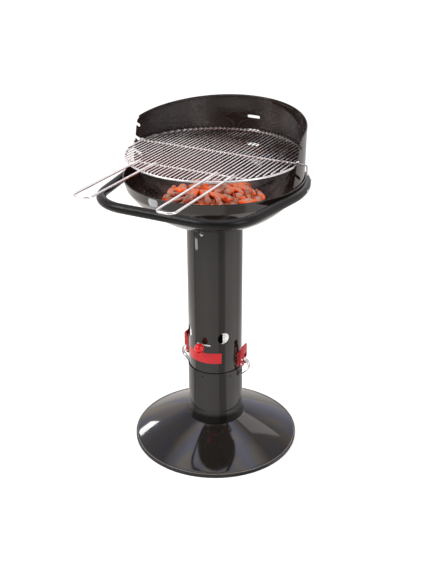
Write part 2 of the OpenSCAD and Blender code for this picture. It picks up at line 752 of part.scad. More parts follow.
module handle_screws() color(chrome)
    for (a = handle_screw_angles, side = [-1, 1])
        at(side * a) outwards(side_r + handle_r + touch, handle_z)
            screw(5, 2.6, handle_screw_r, side_r + handle_r - tab_in(handle_z) + handle_nut_h + 3);

module handle_nuts() color(chrome)
    for (a = handle_screw_angles, side = [-1, 1])
        at(side * a) outwards(tab_in(handle_z - 5), handle_z) nut(handle_nut_across, handle_nut_h, handle_screw_r);

function tab_in(z) = band_in(z) - near - shield_wall - fit;

module windshield() color(enamel) difference() {
    union() {
        intersection() {
            rotate_extrude() polygon([
                [shield_r(foot_z), foot_z], [shield_r(shield_top + over), shield_top + over],
                [shield_r(shield_top + over) - shield_wall, shield_top + over],
                [shield_r(foot_z) - shield_wall, foot_z]]);
            sideways(3 * bowl_r) shield_side();
        }
        shield_hem();
        for (side = [0, 1])
            mirror([side, 0, 0]) shield_tab();
    }
    for (z = level_z) {
        sideways(3 * bowl_r) notch(z);
        back_slot(z - slot_drop);
    }
    for (a = handle_screw_angles, side = [-1, 1])
        at(side * a) drill(crease_in[0] - 6, bowl_r + over, handle_z, handle_screw_r + fit);
}

// Side view of the sheet: slanted end edge, round upper corner, top edge that rises to the back
module shield_side() {
    top = rim_z + shield_side_h;
    corner = [shield_end(top), shield_edge(shield_end(top))];
    edge_turn = atan(shield_slope);
    turn = 90 + shield_end_lean - edge_turn;
    cut = shield_corner_r * tan(turn / 2);
    start = corner - cut * [sin(shield_end_lean), cos(shield_end_lean)];
    middle = start + shield_corner_r * [cos(shield_end_lean), -sin(shield_end_lean)];
    polygon(concat(
        [[shield_end(foot_z - over), foot_z - over]],
        arc(middle, shield_corner_r, 180 - shield_end_lean, 90 + edge_turn, 6),
        [[bowl_r + 20, shield_edge(bowl_r + 20)], [bowl_r + 20, foot_z - over]]));
}

// Rolled hem along the top edge
module shield_hem() intersection() {
    low = rim_z + shield_side_h - 2 * hem_h;
    rotate_extrude() polygon([
        [shield_r(low) + hem_proud / 2, low], [shield_r(shield_top + 2) + hem_proud / 2, shield_top + 2],
        [shield_r(shield_top + 2) - shield_wall - hem_proud, shield_top + 2],
        [shield_r(low) - shield_wall - hem_proud, low]]);
    sideways(3 * bowl_r) {
        top = rim_z + shield_side_h;
        y = shield_end(top) + hem_start;
        polygon([
            [y, shield_edge(y) + 0.4], [y - 2, shield_edge(y) - hem_h],
            [bowl_r + 20, shield_edge(bowl_r + 20) - hem_h], [bowl_r + 20, shield_edge(bowl_r + 20) + 0.4]]);
    }
}

// Foot tab that follows the bowl's band down to the handle screws
module shield_tab() {
    rotate([0, 0, tab_angles[0] - 90])
        rotate_extrude(angle = tab_angles[1] - tab_angles[0])
            polygon([
                [band_in(tab_bottom) - near, tab_bottom],
                [foot_r - 0.2, foot_z + 0.3],
                [foot_r - 0.2, foot_z + 5],
                [foot_r - shield_wall + 0.3, foot_z + 5],
                [foot_r - shield_wall + 0.3, foot_z + 0.3],
                [band_in(tab_bottom) - near - shield_wall, tab_bottom]]);
}

// Slanted notch in side view, from its round seat out past the end edge
module notch(z)
    translate([notch_y, z])
        rotate(180 - notch_rise)
            polygon(concat(arc([0, 0], notch_w / 2, 90, 270, 12), [[80, -notch_w / 2], [80, notch_w / 2]]));

// Long slot with round ends through the sheet at the back
module back_slot(z)
    translate([0, shield_r(z), z]) upright(20) {
        half = (back_slot_w - back_slot_h) / 2;
        polygon(concat(
            arc([half, 0], back_slot_h / 2, -90, 90, 10),
            arc([-half, 0], back_slot_h / 2, 90, 270, 10)));
    }

module grate_ring() color(chrome) translate([0, 0, grate_z]) torus(grate_r, ring_wire_r);

module grate_wires() color(chrome)
    for (i = [-wire_count : wire_count])
        translate([i * wire_pitch, 0, wire_z])
            rotate([90, 0, 0])
                cylinder(h = 2 * sqrt(pow(grate_r, 2) - pow(i * wire_pitch, 2)) + 1, r = wire_r, center = true);

// Long cross wire: under the parallel wires, over the ring, through the notches and down outside
module grate_cross_wire() color(chrome) {
    out_x = grate_r + cross_out;
    hump_z = grate_z;
    end_x = out_x - cross_bend_r;
    half = concat(
        [[0, support_z], [wire_count * wire_pitch / 2, support_z], [wire_count * wire_pitch + wire_r, support_z]],
        arc([cross_ring_x, hump_z], cross_hump, 176, 62, 8),
        [[cross_ring_x + 6.4, cross_seat_z + 0.5], [cross_ring_x + 9, cross_seat_z], [end_x, cross_seat_z]],
        arc([end_x, cross_seat_z - cross_bend_r], cross_bend_r, 60, 0, 2),
        [[out_x, cross_seat_z - cross_drop]]);
    line = concat([for (i = [len(half) - 1 : -1 : 1]) [-half[i][0], half[i][1]]], half);
    translate([0, cross_y, 0]) bent_wire(line, support_r, 10);
}

// Round wire along points in the plane y = 0
module bent_wire(line, r, sides) {
    points = [for (i = [0 : len(line) - 1], k = [0 : sides - 1])
        let (n = side_of(line, i), a = 360 * k / sides)
        [line[i][0] + r * cos(a) * n[0], r * sin(a), line[i][1] + r * cos(a) * n[1]]];
    walls = [for (i = [0 : len(line) - 2], k = [0 : sides - 1])
        let (a = i * sides + k, b = i * sides + (k + 1) % sides)
        [a, b, b + sides, a + sides]];
    ends = [[for (k = [sides - 1 : -1 : 0]) k], [for (k = [0 : sides - 1]) (len(line) - 1) * sides + k]];
    polyhedron(points, concat(walls, ends));
}

module grate_front_wire() color(chrome) intersection() {
    translate([0, -front_wire_y, support_z])
        rotate([0, 90, 0])
            cylinder(h = 2 * sqrt(pow(grate_r, 2) - pow(front_wire_y, 2)), r = support_r, center = true);
    translate([0, 0, support_z - 2 * support_r])
        cylinder(h = 4 * support_r, r = grate_r - ring_wire_r - touch);
}

// Handle loop on the right: two legs that lie on the ring and the short wire, joined at the tip
module handle_loop() {
    inner = loop_inner * wire_pitch;
    outer = loop_outer * wire_pitch;
    tip = -loop_reach + loop_r;
    leg_l = front_wire_y + support_r - 1;
    translate([0, 0, loop_z]) {
        for (x = [inner, outer])
            translate([x, 2 * support_r - leg_l, 0]) rotate([90, 0, 0]) cylinder(h = -tip - loop_corner_r - leg_l + 2 * support_r, r = loop_r);
        translate([inner + loop_corner_r, tip + loop_corner_r, 0])
            rotate([0, 0, 180]) torus(loop_corner_r, loop_r, 90);
        translate([outer - loop_corner_r, tip + loop_corner_r, 0])
            rotate([0, 0, 270]) torus(loop_corner_r, loop_r, 90);
        translate([inner + loop_corner_r, tip, 0])
            rotate([0, 90, 0]) cylinder(h = outer - inner - 2 * loop_corner_r, r = loop_r);
    }
}

module grate_handle_right() color(chrome) handle_loop();

module grate_handle_left() color(chrome) mirror([1, 0, 0]) handle_loop();

// Small loop behind the ring that enters the slot at the back
module grate_rear_hook() color(chrome) difference() {
    translate([0, 0, rear_z]) {
        for (side = [-1, 1])
            translate([side * rear_half_w, rear_y - rear_elbow_r, 0]) {
                rotate([90, 0, 0]) cylinder(h = rear_y - rear_elbow_r - grate_r, r = rear_wire_r);
                translate([-side * rear_elbow_r, 0, 0]) rotate([0, 0, 45 - 45 * side]) torus(rear_elbow_r, rear_wire_r, 90);
            }
        translate([0, rear_y, 0])
            rotate([0, 90, 0]) cylinder(h = 2 * (rear_half_w - rear_elbow_r), r = rear_wire_r, center = true);
    }
    translate([0, 0, grate_z]) torus(grate_r, ring_wire_r + touch);
}

base_dish();
edge_trim();
base_bolts();
base_nuts();
ash_pot();
column();
label_band();
air_ring();
knob_stem();
air_knob();
knob_nut();
latch_base_left();
latch_base_right();
latch_rivets();
lever_pin_left();
lever_pin_right();
latch_lever_left();
latch_lever_right();
hook_pin_left();
hook_pin_right();
latch_hook_left();
latch_hook_right();
bowl();
bowl_screws();
bowl_nuts();
fire_grate();
charcoal();
handle_tube();
handle_caps();
handle_screws();
handle_nuts();
windshield();
grate_ring();
grate_wires();
grate_cross_wire();
grate_front_wire();
grate_handle_left();
grate_handle_right();
grate_rear_hook();
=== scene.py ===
import bpy
import bmesh
from math import asin, atan, atan2, cos, degrees, hypot, pi, radians, sin, sqrt, tan
from mathutils import Euler, Matrix, Vector


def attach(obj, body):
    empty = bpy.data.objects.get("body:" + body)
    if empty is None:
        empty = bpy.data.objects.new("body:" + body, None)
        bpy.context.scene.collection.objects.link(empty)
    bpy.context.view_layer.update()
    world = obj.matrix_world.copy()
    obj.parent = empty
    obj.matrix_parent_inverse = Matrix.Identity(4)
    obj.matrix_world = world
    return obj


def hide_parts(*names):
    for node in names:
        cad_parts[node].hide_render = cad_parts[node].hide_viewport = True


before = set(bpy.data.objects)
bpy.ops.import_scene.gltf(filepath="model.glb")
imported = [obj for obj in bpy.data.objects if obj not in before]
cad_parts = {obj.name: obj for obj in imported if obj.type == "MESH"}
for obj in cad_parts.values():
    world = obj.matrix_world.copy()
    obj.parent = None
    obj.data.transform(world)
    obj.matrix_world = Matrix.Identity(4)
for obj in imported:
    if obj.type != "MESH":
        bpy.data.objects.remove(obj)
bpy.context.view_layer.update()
scene = bpy.context.scene
mm = 0.001


# Objects and nodes

def linked(name, data):
    obj = bpy.data.objects.new(name, data)
    scene.collection.objects.link(obj)
    return obj


def feed(made, given):
    # link a node's inputs from sockets, or set them; id_data is the tree that a node or socket is in
    for key, value in given.items():
        if isinstance(value, bpy.types.NodeSocket):
            made.id_data.links.new(value, made.inputs[key])
        else:
            made.inputs[key].default_value = value


def node(tree, kind, given=None, **settings):
    made = tree.nodes.new(kind)
    for key, value in settings.items():
        setattr(made, key, value)
    feed(made, given or {})
    return made.outputs


def maths(operation, first, *others):
    given = dict(enumerate((first, *others)))
    return node(first.id_data, "ShaderNodeMath", given, operation=operation)[0]


def product(total, *others):
    for other in others:
        total = maths("MULTIPLY", total, other)
    return total


def vectorMaths(operation, first, *others):
    given = dict(enumerate((first, *others)))
    return node(first.id_data, "ShaderNodeVectorMath", given, operation=operation)


def axes(vector):
    return node(vector.id_data, "ShaderNodeSeparateXYZ", {0: vector})


def grain(spot, scale, detail=2):
    # scale is in grains per metre
    return node(spot.id_data, "ShaderNodeTexNoise", {"Vector": spot, "Scale": scale, "Detail": detail})["Fac"]


def spread(value, low, high, fromLow=0.3, fromHigh=0.7):
    given = {"Value": value, "From Min": fromLow, "From Max": fromHigh, "To Min": low, "To Max": high}
    return node(value.id_data, "ShaderNodeMapRange", given)["Result"]


def shades(value, *stops):
    ramp = value.id_data.nodes.new("ShaderNodeValToRGB")
    elements = ramp.color_ramp.elements
    while len(elements) < len(stops):
        elements.new(0.5)
    for element, (position, colour) in zip(elements, stops):
        element.position, element.color = position, (*colour, 1)
    feed(ramp, {0: value})
    return ramp.outputs["Color"]


def blendColour(tree, factor, first, second, kind="MIX"):
    given = {"Factor": factor, "A": first, "B": second}
    given = {key: (*value, 1) if isinstance(value, tuple) else value for key, value in given.items()}
    return node(tree, "ShaderNodeMix", given, data_type="RGBA", blend_type=kind)["Result"]


def scaled(vector, factor):
    return node(vector.id_data, "ShaderNodeVectorMath", {0: vector, "Scale": factor}, operation="SCALE")[0]


def fromAxis(spot):
    # distance from the column's axis in metres
    flat = vectorMaths("MULTIPLY", spot, (1, 1, 0))["Vector"]
    return vectorMaths("LENGTH", flat)["Value"]


def relief(shader, *layers):
    # layers of (height, depth in metres), the coarse one first
    given = {}
    for height, depth in layers:
        given = {"Distance": depth, "Height": height, **given}
        given = {"Normal": node(height.id_data, "ShaderNodeBump", given)["Normal"]}
    feed(shader, given)


def finish(name, colour, rough, metal=0.0, spec=0.5, coat=0.0):
    material = bpy.data.materials.new(name)
    material.use_nodes = True
    tree = material.node_tree
    shader = tree.nodes["Principled BSDF"]
    feed(shader, {"Base Color": (*colour, 1), "Roughness": rough, "Metallic": metal,
                  "Specular IOR Level": spec, "Coat Weight": coat, "Coat Roughness": 0.04})
    return material, tree, shader, node(tree, "ShaderNodeTexCoord")["Object"]


# Camera, light and floor

view = dict(
    place=(1.1181, -2.1135, 1.6331), lens=58.386, sensor=36, reach=60, azimuth=27.88, pitch=25.491, yaw=-0.07,
    roll=-0.325)
light = dict(
    worldDiffuse=0.55, worldTint=(1, 0.99, 0.98, 1), horizon=0.95, overhead=2.4,
    sky=((0.1, 0.98), (0.4, 0.9), (0.58, 0.6), (0.8, 0.62)), cloudScale=5.5, cloudShare=0.7,
    clouds=((0.44, (0.62, 0.68, 1.0)), (0.56, (1.0, 0.86, 0.76))), nearSide=(0.22, 1.0, -0.5, 0.15), floorReach=30,
    floorTone=(0.82, 0.82, 0.82), floorLift=0.58, bandsFrom=117.88,
    bands=((0.0, 0.7), (0.03, 0.7), (0.046, 0.38), (0.105, 0.42), (0.125, 0.95), (0.24, 0.9), (0.3, 0.6),
        (0.46, 0.55), (0.6, 0.75), (0.7, 0.8), (0.738, 0.75), (0.752, 0.2), (0.764, 0.5), (0.9, 0.78), (1.0, 0.7)))
# name: place, aim, size, watts, tint
panels = {
    "keyPanel": ((-1.6, -1.9, 2.6), (0, 0, 0.5), (1.4, 1.4), 42, (1, 1, 1)),
    "fillPanel": ((2.6, -0.6, 2.2), (0, 0, 0.6), (1.2, 1.8), 22, (1, 1, 1)),
    "rimPanel": ((-0.71, 0.16, 0.25), (-0.65, 0.12, 0), (0.14, 0.14), 0.6, (1, 1, 1)),
    "bandPanel": ((-0.336, -0.336, 0.553), (-0.05, -0.238, 0.814), (0.105, 0.05), 0.085, (0.93, 0.97, 1)),
    "wirePanel": ((0.1, 2.6, 2.45), (0, 0, 0.88), (1.7, 1.3), 9, (1, 0.95, 0.93))}


def placeCamera(v):
    pitch, yaw, roll = (radians(v[k]) for k in ("pitch", "yaw", "roll"))
    ahead = Vector((sin(yaw) * cos(pitch), cos(yaw) * cos(pitch), -sin(pitch)))
    right = Vector((cos(yaw), -sin(yaw), 0))
    up = right.cross(ahead)
    right, up = right * cos(roll) + up * sin(roll), up * cos(roll) - right * sin(roll)
    turn = Matrix.Rotation(radians(v["azimuth"]), 3, "Z")
    facing = Matrix((turn @ right, turn @ up, turn @ -ahead)).transposed()
    camera = linked("camera", bpy.data.cameras.new("camera"))
    camera.data.lens, camera.data.sensor_width, camera.data.clip_end = v["lens"], v["sensor"], v["reach"]
    camera.matrix_world = Matrix.Translation(v["place"]) @ facing.to_4x4()
    scene.camera = camera


def panel(name, place, aim, size, watts, tint):
    lamp = bpy.data.lights.new(name, "AREA")
    lamp.shape = "RECTANGLE"
    lamp.size, lamp.size_y = size
    lamp.energy, lamp.color = watts, tint
    obj = linked(name, lamp)
    towards = (Vector(aim) - Vector(place)).to_track_quat("-Z", "Y")
    obj.matrix_world = Matrix.Translation(place) @ towards.to_matrix().to_4x4()
    obj.visible_camera = False


def showsBackground(tree):
    # 1 for camera, mirror and glass rays, 0 for the rays that light the object
    path = node(tree, "ShaderNodeLightPath")
    seen = maths("MAXIMUM", path["Is Camera Ray"], path["Is Glossy Ray"])
    return path, maths("MAXIMUM", seen, path["Is Transmission Ray"])


def warm(tone):
    return (tone, tone * 0.96, tone * 0.93)


def makeWorld(v):
    world = bpy.data.worlds.new("studio")
    scene.world = world
    world.use_nodes = True
    tree = world.node_tree
    tree.nodes.clear()
    path, shown = showsBackground(tree)
    spot = node(tree, "ShaderNodeTexCoord")["Generated"]
    low = [v["horizon"] * share for share in (1, 0.985, 0.97)]
    middle = [(height, warm(tone)) for height, tone in v["sky"]]
    sky = shades(axes(spot)["Z"], (0.02, low), *middle, (0.92, (v["overhead"],) * 3))
    # darker on the camera's side of the room
    turn = radians(view["azimuth"])
    away = vectorMaths("DOT_PRODUCT", spot, (-sin(turn), cos(turn), 0))["Value"]
    shaded = scaled(sky, spread(away, *v["nearSide"]))
    clouds = shades(grain(spot, v["cloudScale"], 3), *v["clouds"])
    tinted = blendColour(tree, v["cloudShare"], shaded, clouds, "MULTIPLY")
    plain = blendColour(tree, path["Is Camera Ray"], tinted, (1, 1, 1))
    soft = node(tree, "ShaderNodeBackground", {"Color": v["worldTint"], "Strength": v["worldDiffuse"]})[0]
    seen = node(tree, "ShaderNodeBackground", {"Color": plain, "Strength": 1})[0]
    both = node(tree, "ShaderNodeMixShader", {0: shown, 1: soft, 2: seen})[0]
    node(tree, "ShaderNodeOutputWorld", {0: both})


def makeFloor(v):
    mesh, r = bpy.data.meshes.new("floor"), v["floorReach"]
    mesh.from_pydata([(-r, -r, 0), (r, -r, 0), (r, r, 0), (-r, r, 0)], [], [(0, 1, 2, 3)])
    floor = linked("floor", mesh)
    material, tree, shader, spot = finish("paleFloor", v["floorTone"], 0.9, spec=0)
    path, shown = showsBackground(tree)
    turned = node(tree, "ShaderNodeMapping", {"Vector": spot, "Rotation": (0, 0, radians(-v["bandsFrom"]))})
    around = node(tree, "ShaderNodeTexGradient", {"Vector": turned["Vector"]}, gradient_type="RADIAL")["Fac"]
    bands = shades(around, *((place, warm(tone)) for place, tone in v["bands"]))
    mirrored = blendColour(tree, path["Is Glossy Ray"], (1, 1, 1), bands)
    # the lit part of the floor is darker too where a mirror ray sees a dark band
    feed(shader, {
        "Base Color": blendColour(tree, 1, mirrored, v["floorTone"], "MULTIPLY"), "Emission Color": mirrored,
        "Emission Strength": maths("MULTIPLY", shown, v["floorLift"])})
    mesh.materials.append(material)


placeCamera(view)
makeWorld(light)
makeFloor(light)
for name, settings in panels.items():
    panel(name, *settings)
scene.view_settings.view_transform = "Standard"
print("stage: camera, light and floor")


# Finishes

black = dict(
    # the third tone on the next line is painted shade, the near black of the pot's foot flare and its dimples
    plain=(0.0165, 0.0135, 0.0118), brown=(0.0215, 0.0135, 0.0112), paintedShadeTone=(0.004, 0.0035, 0.003),
    # the pale edge tone on the next line is a painted highlight on the dish's rolled hem
    ash=(0.16, 0.13, 0.115), paintedHighlightTone=(0.3, 0.27, 0.25), ashTop=(0.735, 0.785), ashRough=0.55,
    footTop=(0.098, 0.112), dimpleLow=(0.2296, 0.2298), dimpleHigh=(0.2364, 0.2362), dimpleReach=(0.0796, 0.0801),
    hemFrom=(0.2386, 0.2392))


def enamelFinish(name, colour=black["plain"], ash=False, potFoot=False, hem=False):
    material, tree, shader, spot = finish(name, colour, 0.07, coat=0.15)
    darker, lighter = tuple(c * 0.86 for c in colour), tuple(c * 1.12 for c in colour)
    base = shades(grain(spot, 5, 3), (0.35, darker), (0.65, lighter))
    rough = spread(grain(spot, 34, 4), 0.055, 0.1)
    if ash:
        # baked-on ash and soot where the coals lie, on the faces that look up
        height = axes(spot)["Z"]
        facing = axes(node(tree, "ShaderNodeNewGeometry")["Normal"])["Z"]
        amount = product(spread(height, 1, 0, *black["ashTop"]), spread(facing, 0, 1, 0.1, 0.35),
                         spread(grain(spot, 22, 6), 0, 1, 0.4, 0.72))
        base = blendColour(tree, amount, base, black["ash"])
        rough = maths("MULTIPLY_ADD", amount, black["ashRough"], rough)
    if potFoot:
        # painted dark reflection on the flare at the pot's foot and painted shade in its dimples: both are painted
        # nearly black, with less shine
        height = axes(spot)["Z"]
        reach = spread(fromAxis(spot), 1, 0, *black["dimpleReach"])
        dimple = product(*(spread(height, 0, 1, *black[key]) for key in ("dimpleLow", "dimpleHigh")), reach)
        paintedShadeMask = maths("MAXIMUM", spread(height, 1, 0, *black["footTop"]), dimple)
        base = blendColour(tree, paintedShadeMask, base, black["paintedShadeTone"])
        feed(shader, {"Specular IOR Level": spread(paintedShadeMask, 0.5, 0.12, 0, 1),
                      "Coat Weight": spread(paintedShadeMask, 0.15, 0.0, 0, 1)})
    if hem:
        # painted highlight: a thin pale line on the rolled edge of the dish, where the rim catches the light
        paintedHighlightMask = spread(fromAxis(spot), 0, 1, *black["hemFrom"])
        base = blendColour(tree, paintedHighlightMask, base, black["paintedHighlightTone"])
    feed(shader, {"Base Color": base, "Roughness": rough})
    relief(shader, (grain(spot, 7, 1), 0.00035), (grain(spot, 240, 2), 0.000003))
    return material


def metalFinish(name, tones, rough, scale, detail=3, depth=0.00001):
    material, tree, shader, spot = finish(name, tones[0], rough[0], metal=1)
    steps = [(0.3 + 0.4 * i / (len(tones) - 1), colour) for i, colour in enumerate(tones)]
    feed(shader, {"Base Color": shades(grain(spot, scale, detail), *steps),
                  "Roughness": spread(grain(spot, scale * 5, 3), *rough)})
    relief(shader, (grain(spot, scale * 8), depth))
    return material


def galvanisedFinish():
    material, tree, shader, spot = finish("galvanised", (0.6, 0.61, 0.62), 0.36, metal=1)
    cell = node(tree, "ShaderNodeTexVoronoi", {"Vector": spot, "Scale": 130})["Color"]
    tone = node(tree, "ShaderNodeSeparateColor", {0: cell})
    feed(shader, {"Base Color": shades(tone[0], (0.1, (0.84, 0.85, 0.86)), (0.9, (0.95, 0.95, 0.96))),
                  "Roughness": spread(tone[1], 0.26, 0.46, 0, 1)})
    relief(shader, (grain(spot, 300, 3), 0.00002))
    return material


def paintFinish(name, colour, rough, coat, grainScale, depth, wear=0.06, spec=0.5):
    material, tree, shader, spot = finish(name, colour, rough, spec=spec, coat=coat)
    low = tuple(c * (1 - wear) for c in colour)
    high = tuple(min(1, c * (1 + wear) + wear * 0.01) for c in colour)
    feed(shader, {"Base Color": shades(grain(spot, 26, 3), (0.35, low), (0.65, high)),
                  "Roughness": spread(grain(spot, 90, 3), rough * 0.85, rough * 1.2)})
    relief(shader, (grain(spot, grainScale), depth))
    return material


def coalFinish():
    # pinkish ash on the faces that look up, glow on the sides; ambient occlusion dims the glow into painted shade in
    # the gaps
    material, tree, shader, spot = finish("charcoal", (0.1, 0.08, 0.07), 0.9, spec=0.15)
    ash = grain(spot, 60, 5)
    facing = axes(node(tree, "ShaderNodeNewGeometry")["Normal"])["Z"]
    cover = maths("ADD", spread(facing, 0, 0.62, 0.25, 0.85), spread(ash, -0.3, 0.5))
    base = shades(cover, (0.0, (0.02, 0.008, 0.006)), (0.3, (0.1, 0.03, 0.02)),
                  (0.75, (0.42, 0.21, 0.16)), (1.0, (0.6, 0.44, 0.39)))
    hot = shades(cover, (0.0, (0.62, 0.045, 0.012)), (0.35, (0.78, 0.14, 0.035)),
                 (0.75, (0.28, 0.085, 0.055)), (1.0, (0.16, 0.085, 0.07)))
    cold = spread(grain(spot, 19, 3), 0, 0.8, 0.56, 0.42)
    # painted shade: the glow fades where the lumps crowd together
    gapShade = node(tree, "ShaderNodeAmbientOcclusion", {"Distance": 0.016}, samples=8)["AO"]
    feed(shader, {"Base Color": base, "Emission Color": blendColour(tree, cold, hot, (0.02, 0.004, 0.003)),
                  "Emission Strength": spread(gapShade, 0.05, 1.25, 0.3, 0.85)})
    relief(shader, (ash, 0.002), (grain(spot, 420, 4), 0.0008))
    return material


# each look is a material with the name of a slot
enamel = enamelFinish("enamel"), "enamel"
footEnamel = enamelFinish("footEnamel", hem=True), "enamel"
bowlEnamel = enamelFinish("bowlEnamel", black["brown"], ash=True), "enamel"
shieldEnamel = enamelFinish("shieldEnamel", black["brown"]), "enamel"
potEnamel = enamelFinish("potEnamel", potFoot=True), "enamel"
satinBlack = paintFinish("satinBlack", (0.009, 0.0085, 0.008), 0.3, 0, 900, 0.00003, spec=0.26), "satin_black"
rubber = paintFinish("edgeRubber", (0.012, 0.012, 0.012), 0.5, 0, 1400, 0.00004), "edge_rubber"
blackPlastic = paintFinish("blackPlastic", (0.012, 0.012, 0.012), 0.42, 0, 1100, 0.00003), "black_plastic"
labelRed = paintFinish("labelRed", (0.76, 0.024, 0.032), 0.32, 0.1, 700, 0.00001, spec=0.35), "red_label"
leverRed = paintFinish("leverRed", (0.66, 0.028, 0.036), 0.3, 0.15, 500, 0.00003), "red_paint"
ballRed = paintFinish("ballRed", (0.86, 0.008, 0.008), 0.16, 0.2, 60, 0.00004, wear=0.02), "red_ball"
galvanised = galvanisedFinish(), "galvanised"
chromeWire = metalFinish("chromeWire", [(0.84, 0.78, 0.76), (0.93, 0.91, 0.9), (0.97, 0.96, 0.96)],
                         (0.22, 0.36), 28), "chrome_wire"
zincSteel = metalFinish("zincSteel", [(0.66, 0.66, 0.65), (0.8, 0.8, 0.8)], (0.16, 0.3), 90), "zinc_steel"
fireWire = metalFinish("fireWire", [(0.1, 0.07, 0.055), (0.2, 0.15, 0.12), (0.3, 0.25, 0.21)],
                       (0.45, 0.7), 60, 5, 0.00008), "fire_wire"
coal = coalFinish(), "charcoal"
print("stage: finishes")


# Shapes in millimetres

alongX, alongY, alongZ = (1, 0, 0), (0, 1, 0), (0, 0, 1)


def newObject(name, verts, faces):
    mesh = bpy.data.meshes.new(name)
    mesh.from_pydata([(x * mm, y * mm, z * mm) for x, y, z in verts], [], faces)
    return linked(name, mesh)


def around(radius, a, height):
    # turns count from the front to +X
    return (radius * sin(a), -radius * cos(a), height)


def radial(angle, radius, height):
    # place and turn of a part whose own +Z points away from the grill's axis
    a = radians(angle)
    return around(radius, a, height), Euler((pi / 2, 0, a))


def moved(obj, place, turn):
    obj.data.transform(Matrix.Translation(Vector(place) * mm) @ turn.to_matrix().to_4x4())
    return obj


def arc(centre, radius, start, end, steps):
    turns = (radians(start + (end - start) * i / steps) for i in range(steps + 1))
    return [(centre[0] + radius * cos(t), centre[1] + radius * sin(t)) for t in turns]


def longHole(half, radius, steps):
    return arc((half, 0), radius, -90, 90, steps) + arc((-half, 0), radius, 90, 270, steps)


def softened(points, steps=3):
    # points of (x, y) or (x, y, corner radius): the outline with those corners rounded
    outline = []
    for i, point in enumerate(points):
        here = Vector(point[:2])
        back, on = Vector(points[i - 1][:2]) - here, Vector(points[(i + 1) % len(points)][:2]) - here
        if len(point) < 3 or back.length < 1e-9 or on.length < 1e-9:
            outline.append(tuple(here))
            continue
        half = back.angle(on) / 2
        cut = min(point[2] / tan(half), back.length * 0.49, on.length * 0.49)
        back.normalize()
        on.normalize()
        centre = here + (back + on).normalized() * cut / cos(half)
        first, last = here + back * cut - centre, here + on * cut - centre
        start = atan2(first.y, first.x)
        turn = (atan2(last.y, last.x) - start + pi) % (2 * pi) - pi
        for k in range(steps + 1):
            a = start + turn * k / steps
            outline.append((centre.x + first.length * cos(a), centre.y + first.length * sin(a)))
    return outline


def quads(count, rows):
    # faces between neighbouring rows of count points, closed round
    corners = ((0, 0), (0, 1), (1, 1), (1, 0))
    return [[(i + row) * count + (k + step) % count for row, step in corners]
            for i in range(rows - 1) for k in range(count)]


def revolved(name, outline, turns, whole):
    # a closed outline of (radius, height) set at the given turns
    verts, rings, count = [], [], len(turns)
    for radius, height in outline:
        start = len(verts)
        if radius < 1e-6:
            rings.append([start] * count)
            verts.append((0, 0, height))
        else:
            rings.append(list(range(start, start + count)))
            verts += [around(radius, a, height) for a in turns]
    faces = [] if whole else [[ring[0] for ring in rings], [ring[-1] for ring in rings]]
    for i, low in enumerate(rings):
        high = rings[(i + 1) % len(rings)]
        for k in range(count if whole else count - 1):
            quad = [low[k], low[(k + 1) % count], high[(k + 1) % count], high[k]]
            quad = [v for j, v in enumerate(quad) if v not in quad[:j]]
            if len(quad) > 2:
                faces.append(quad)
    return newObject(name, verts, faces)


def lathe(name, outline, steps=256):
    return revolved(name, outline, [2 * pi * k / steps for k in range(steps)], True)


def sector(name, outline, fromAngle, toAngle, steps):
    turns = [radians(fromAngle + (toAngle - fromAngle) * k / steps) for k in range(steps + 1)]
    return revolved(name, outline, turns, False)


def between(name, near, far):
    # a closed shape between two outlines of as many points each
    count = len(near)
    ends = [list(range(count)), list(range(2 * count - 1, count - 1, -1))]
    return newObject(name, near + far, ends + quads(count, 2))


def prism(name, outline, corner, length, across=alongX, up=alongY, along=alongZ):
    # a flat outline set at a corner point with two directions, drawn out along a third
    corner, across, up, along = map(Vector, (corner, across, up, along))
    ends = ([corner + across * x + up * y + along * depth for x, y in outline] for depth in (0, length))
    return between(name, *ends)


def drill(angle, height, radius, start, end):
    a, outline = radians(angle), arc((0, 0), radius, 0, 360 - 360 / 64, 63)
    out = Vector((sin(a), -cos(a), 0))
    corner = out * start + Vector((0, 0, height))
    return prism("drill", outline, corner, end - start, (cos(a), sin(a), 0), alongZ, out)


def skinned(name, rings):
    # closed skin over rings of as many points each
    count, total = len(rings[0]), len(rings) * len(rings[0])
    ends = [list(range(count)), list(range(total - count, total))]
    return newObject(name, [point for ring in rings for point in ring], quads(count, len(rings)) + ends)


def tube(name, path, radius, sides, roundEnds):
    # a round wire along points, with half-round ends
    path = [Vector(p) for p in path]
    last = len(path) - 1
    ahead = [(path[min(i + 1, last)] - path[max(i - 1, 0)]).normalized() for i in range(last + 1)]
    side = ahead[0].orthogonal().normalized()
    frames = []
    for point, on in zip(path, ahead):
        side = (side - on * side.dot(on)).normalized()
        frames.append((point, side, on.cross(side), radius))
    if roundEnds:
        tips = []
        for end, sign in ((0, -1), (-1, 1)):
            point, u, v, _ = frames[end]
            out = ahead[end] * sign * radius * 0.8
            tips.append([(point + out * sin(t), u, v, radius * cos(t)) for t in (0.5, 1.0, 1.45)])
        frames = tips[0][::-1] + frames + tips[1]
    turns = [2 * pi * k / sides for k in range(sides)]
    return skinned(name, [[point + (u * cos(t) + v * sin(t)) * r for t in turns] for point, u, v, r in frames])


def evaluated(obj):
    bpy.context.view_layer.update()
    graph = bpy.context.evaluated_depsgraph_get()
    graph.update()
    mesh = bpy.data.meshes.new_from_object(obj.evaluated_get(graph))
    obj.modifiers.clear()
    obj.data = mesh
    return obj


def outward(obj):
    shape = bmesh.new()
    shape.from_mesh(obj.data)
    bmesh.ops.remove_doubles(shape, verts=shape.verts, dist=1e-7)
    bmesh.ops.recalc_face_normals(shape, faces=shape.faces)
    shape.to_mesh(obj.data)
    shape.free()
    return obj


def merged(name, parts):
    shape = bmesh.new()
    for part in parts:
        shape.from_mesh(part.data)
        bpy.data.objects.remove(part)
    mesh = bpy.data.meshes.new(name)
    shape.to_mesh(mesh)
    shape.free()
    return linked(name, mesh)


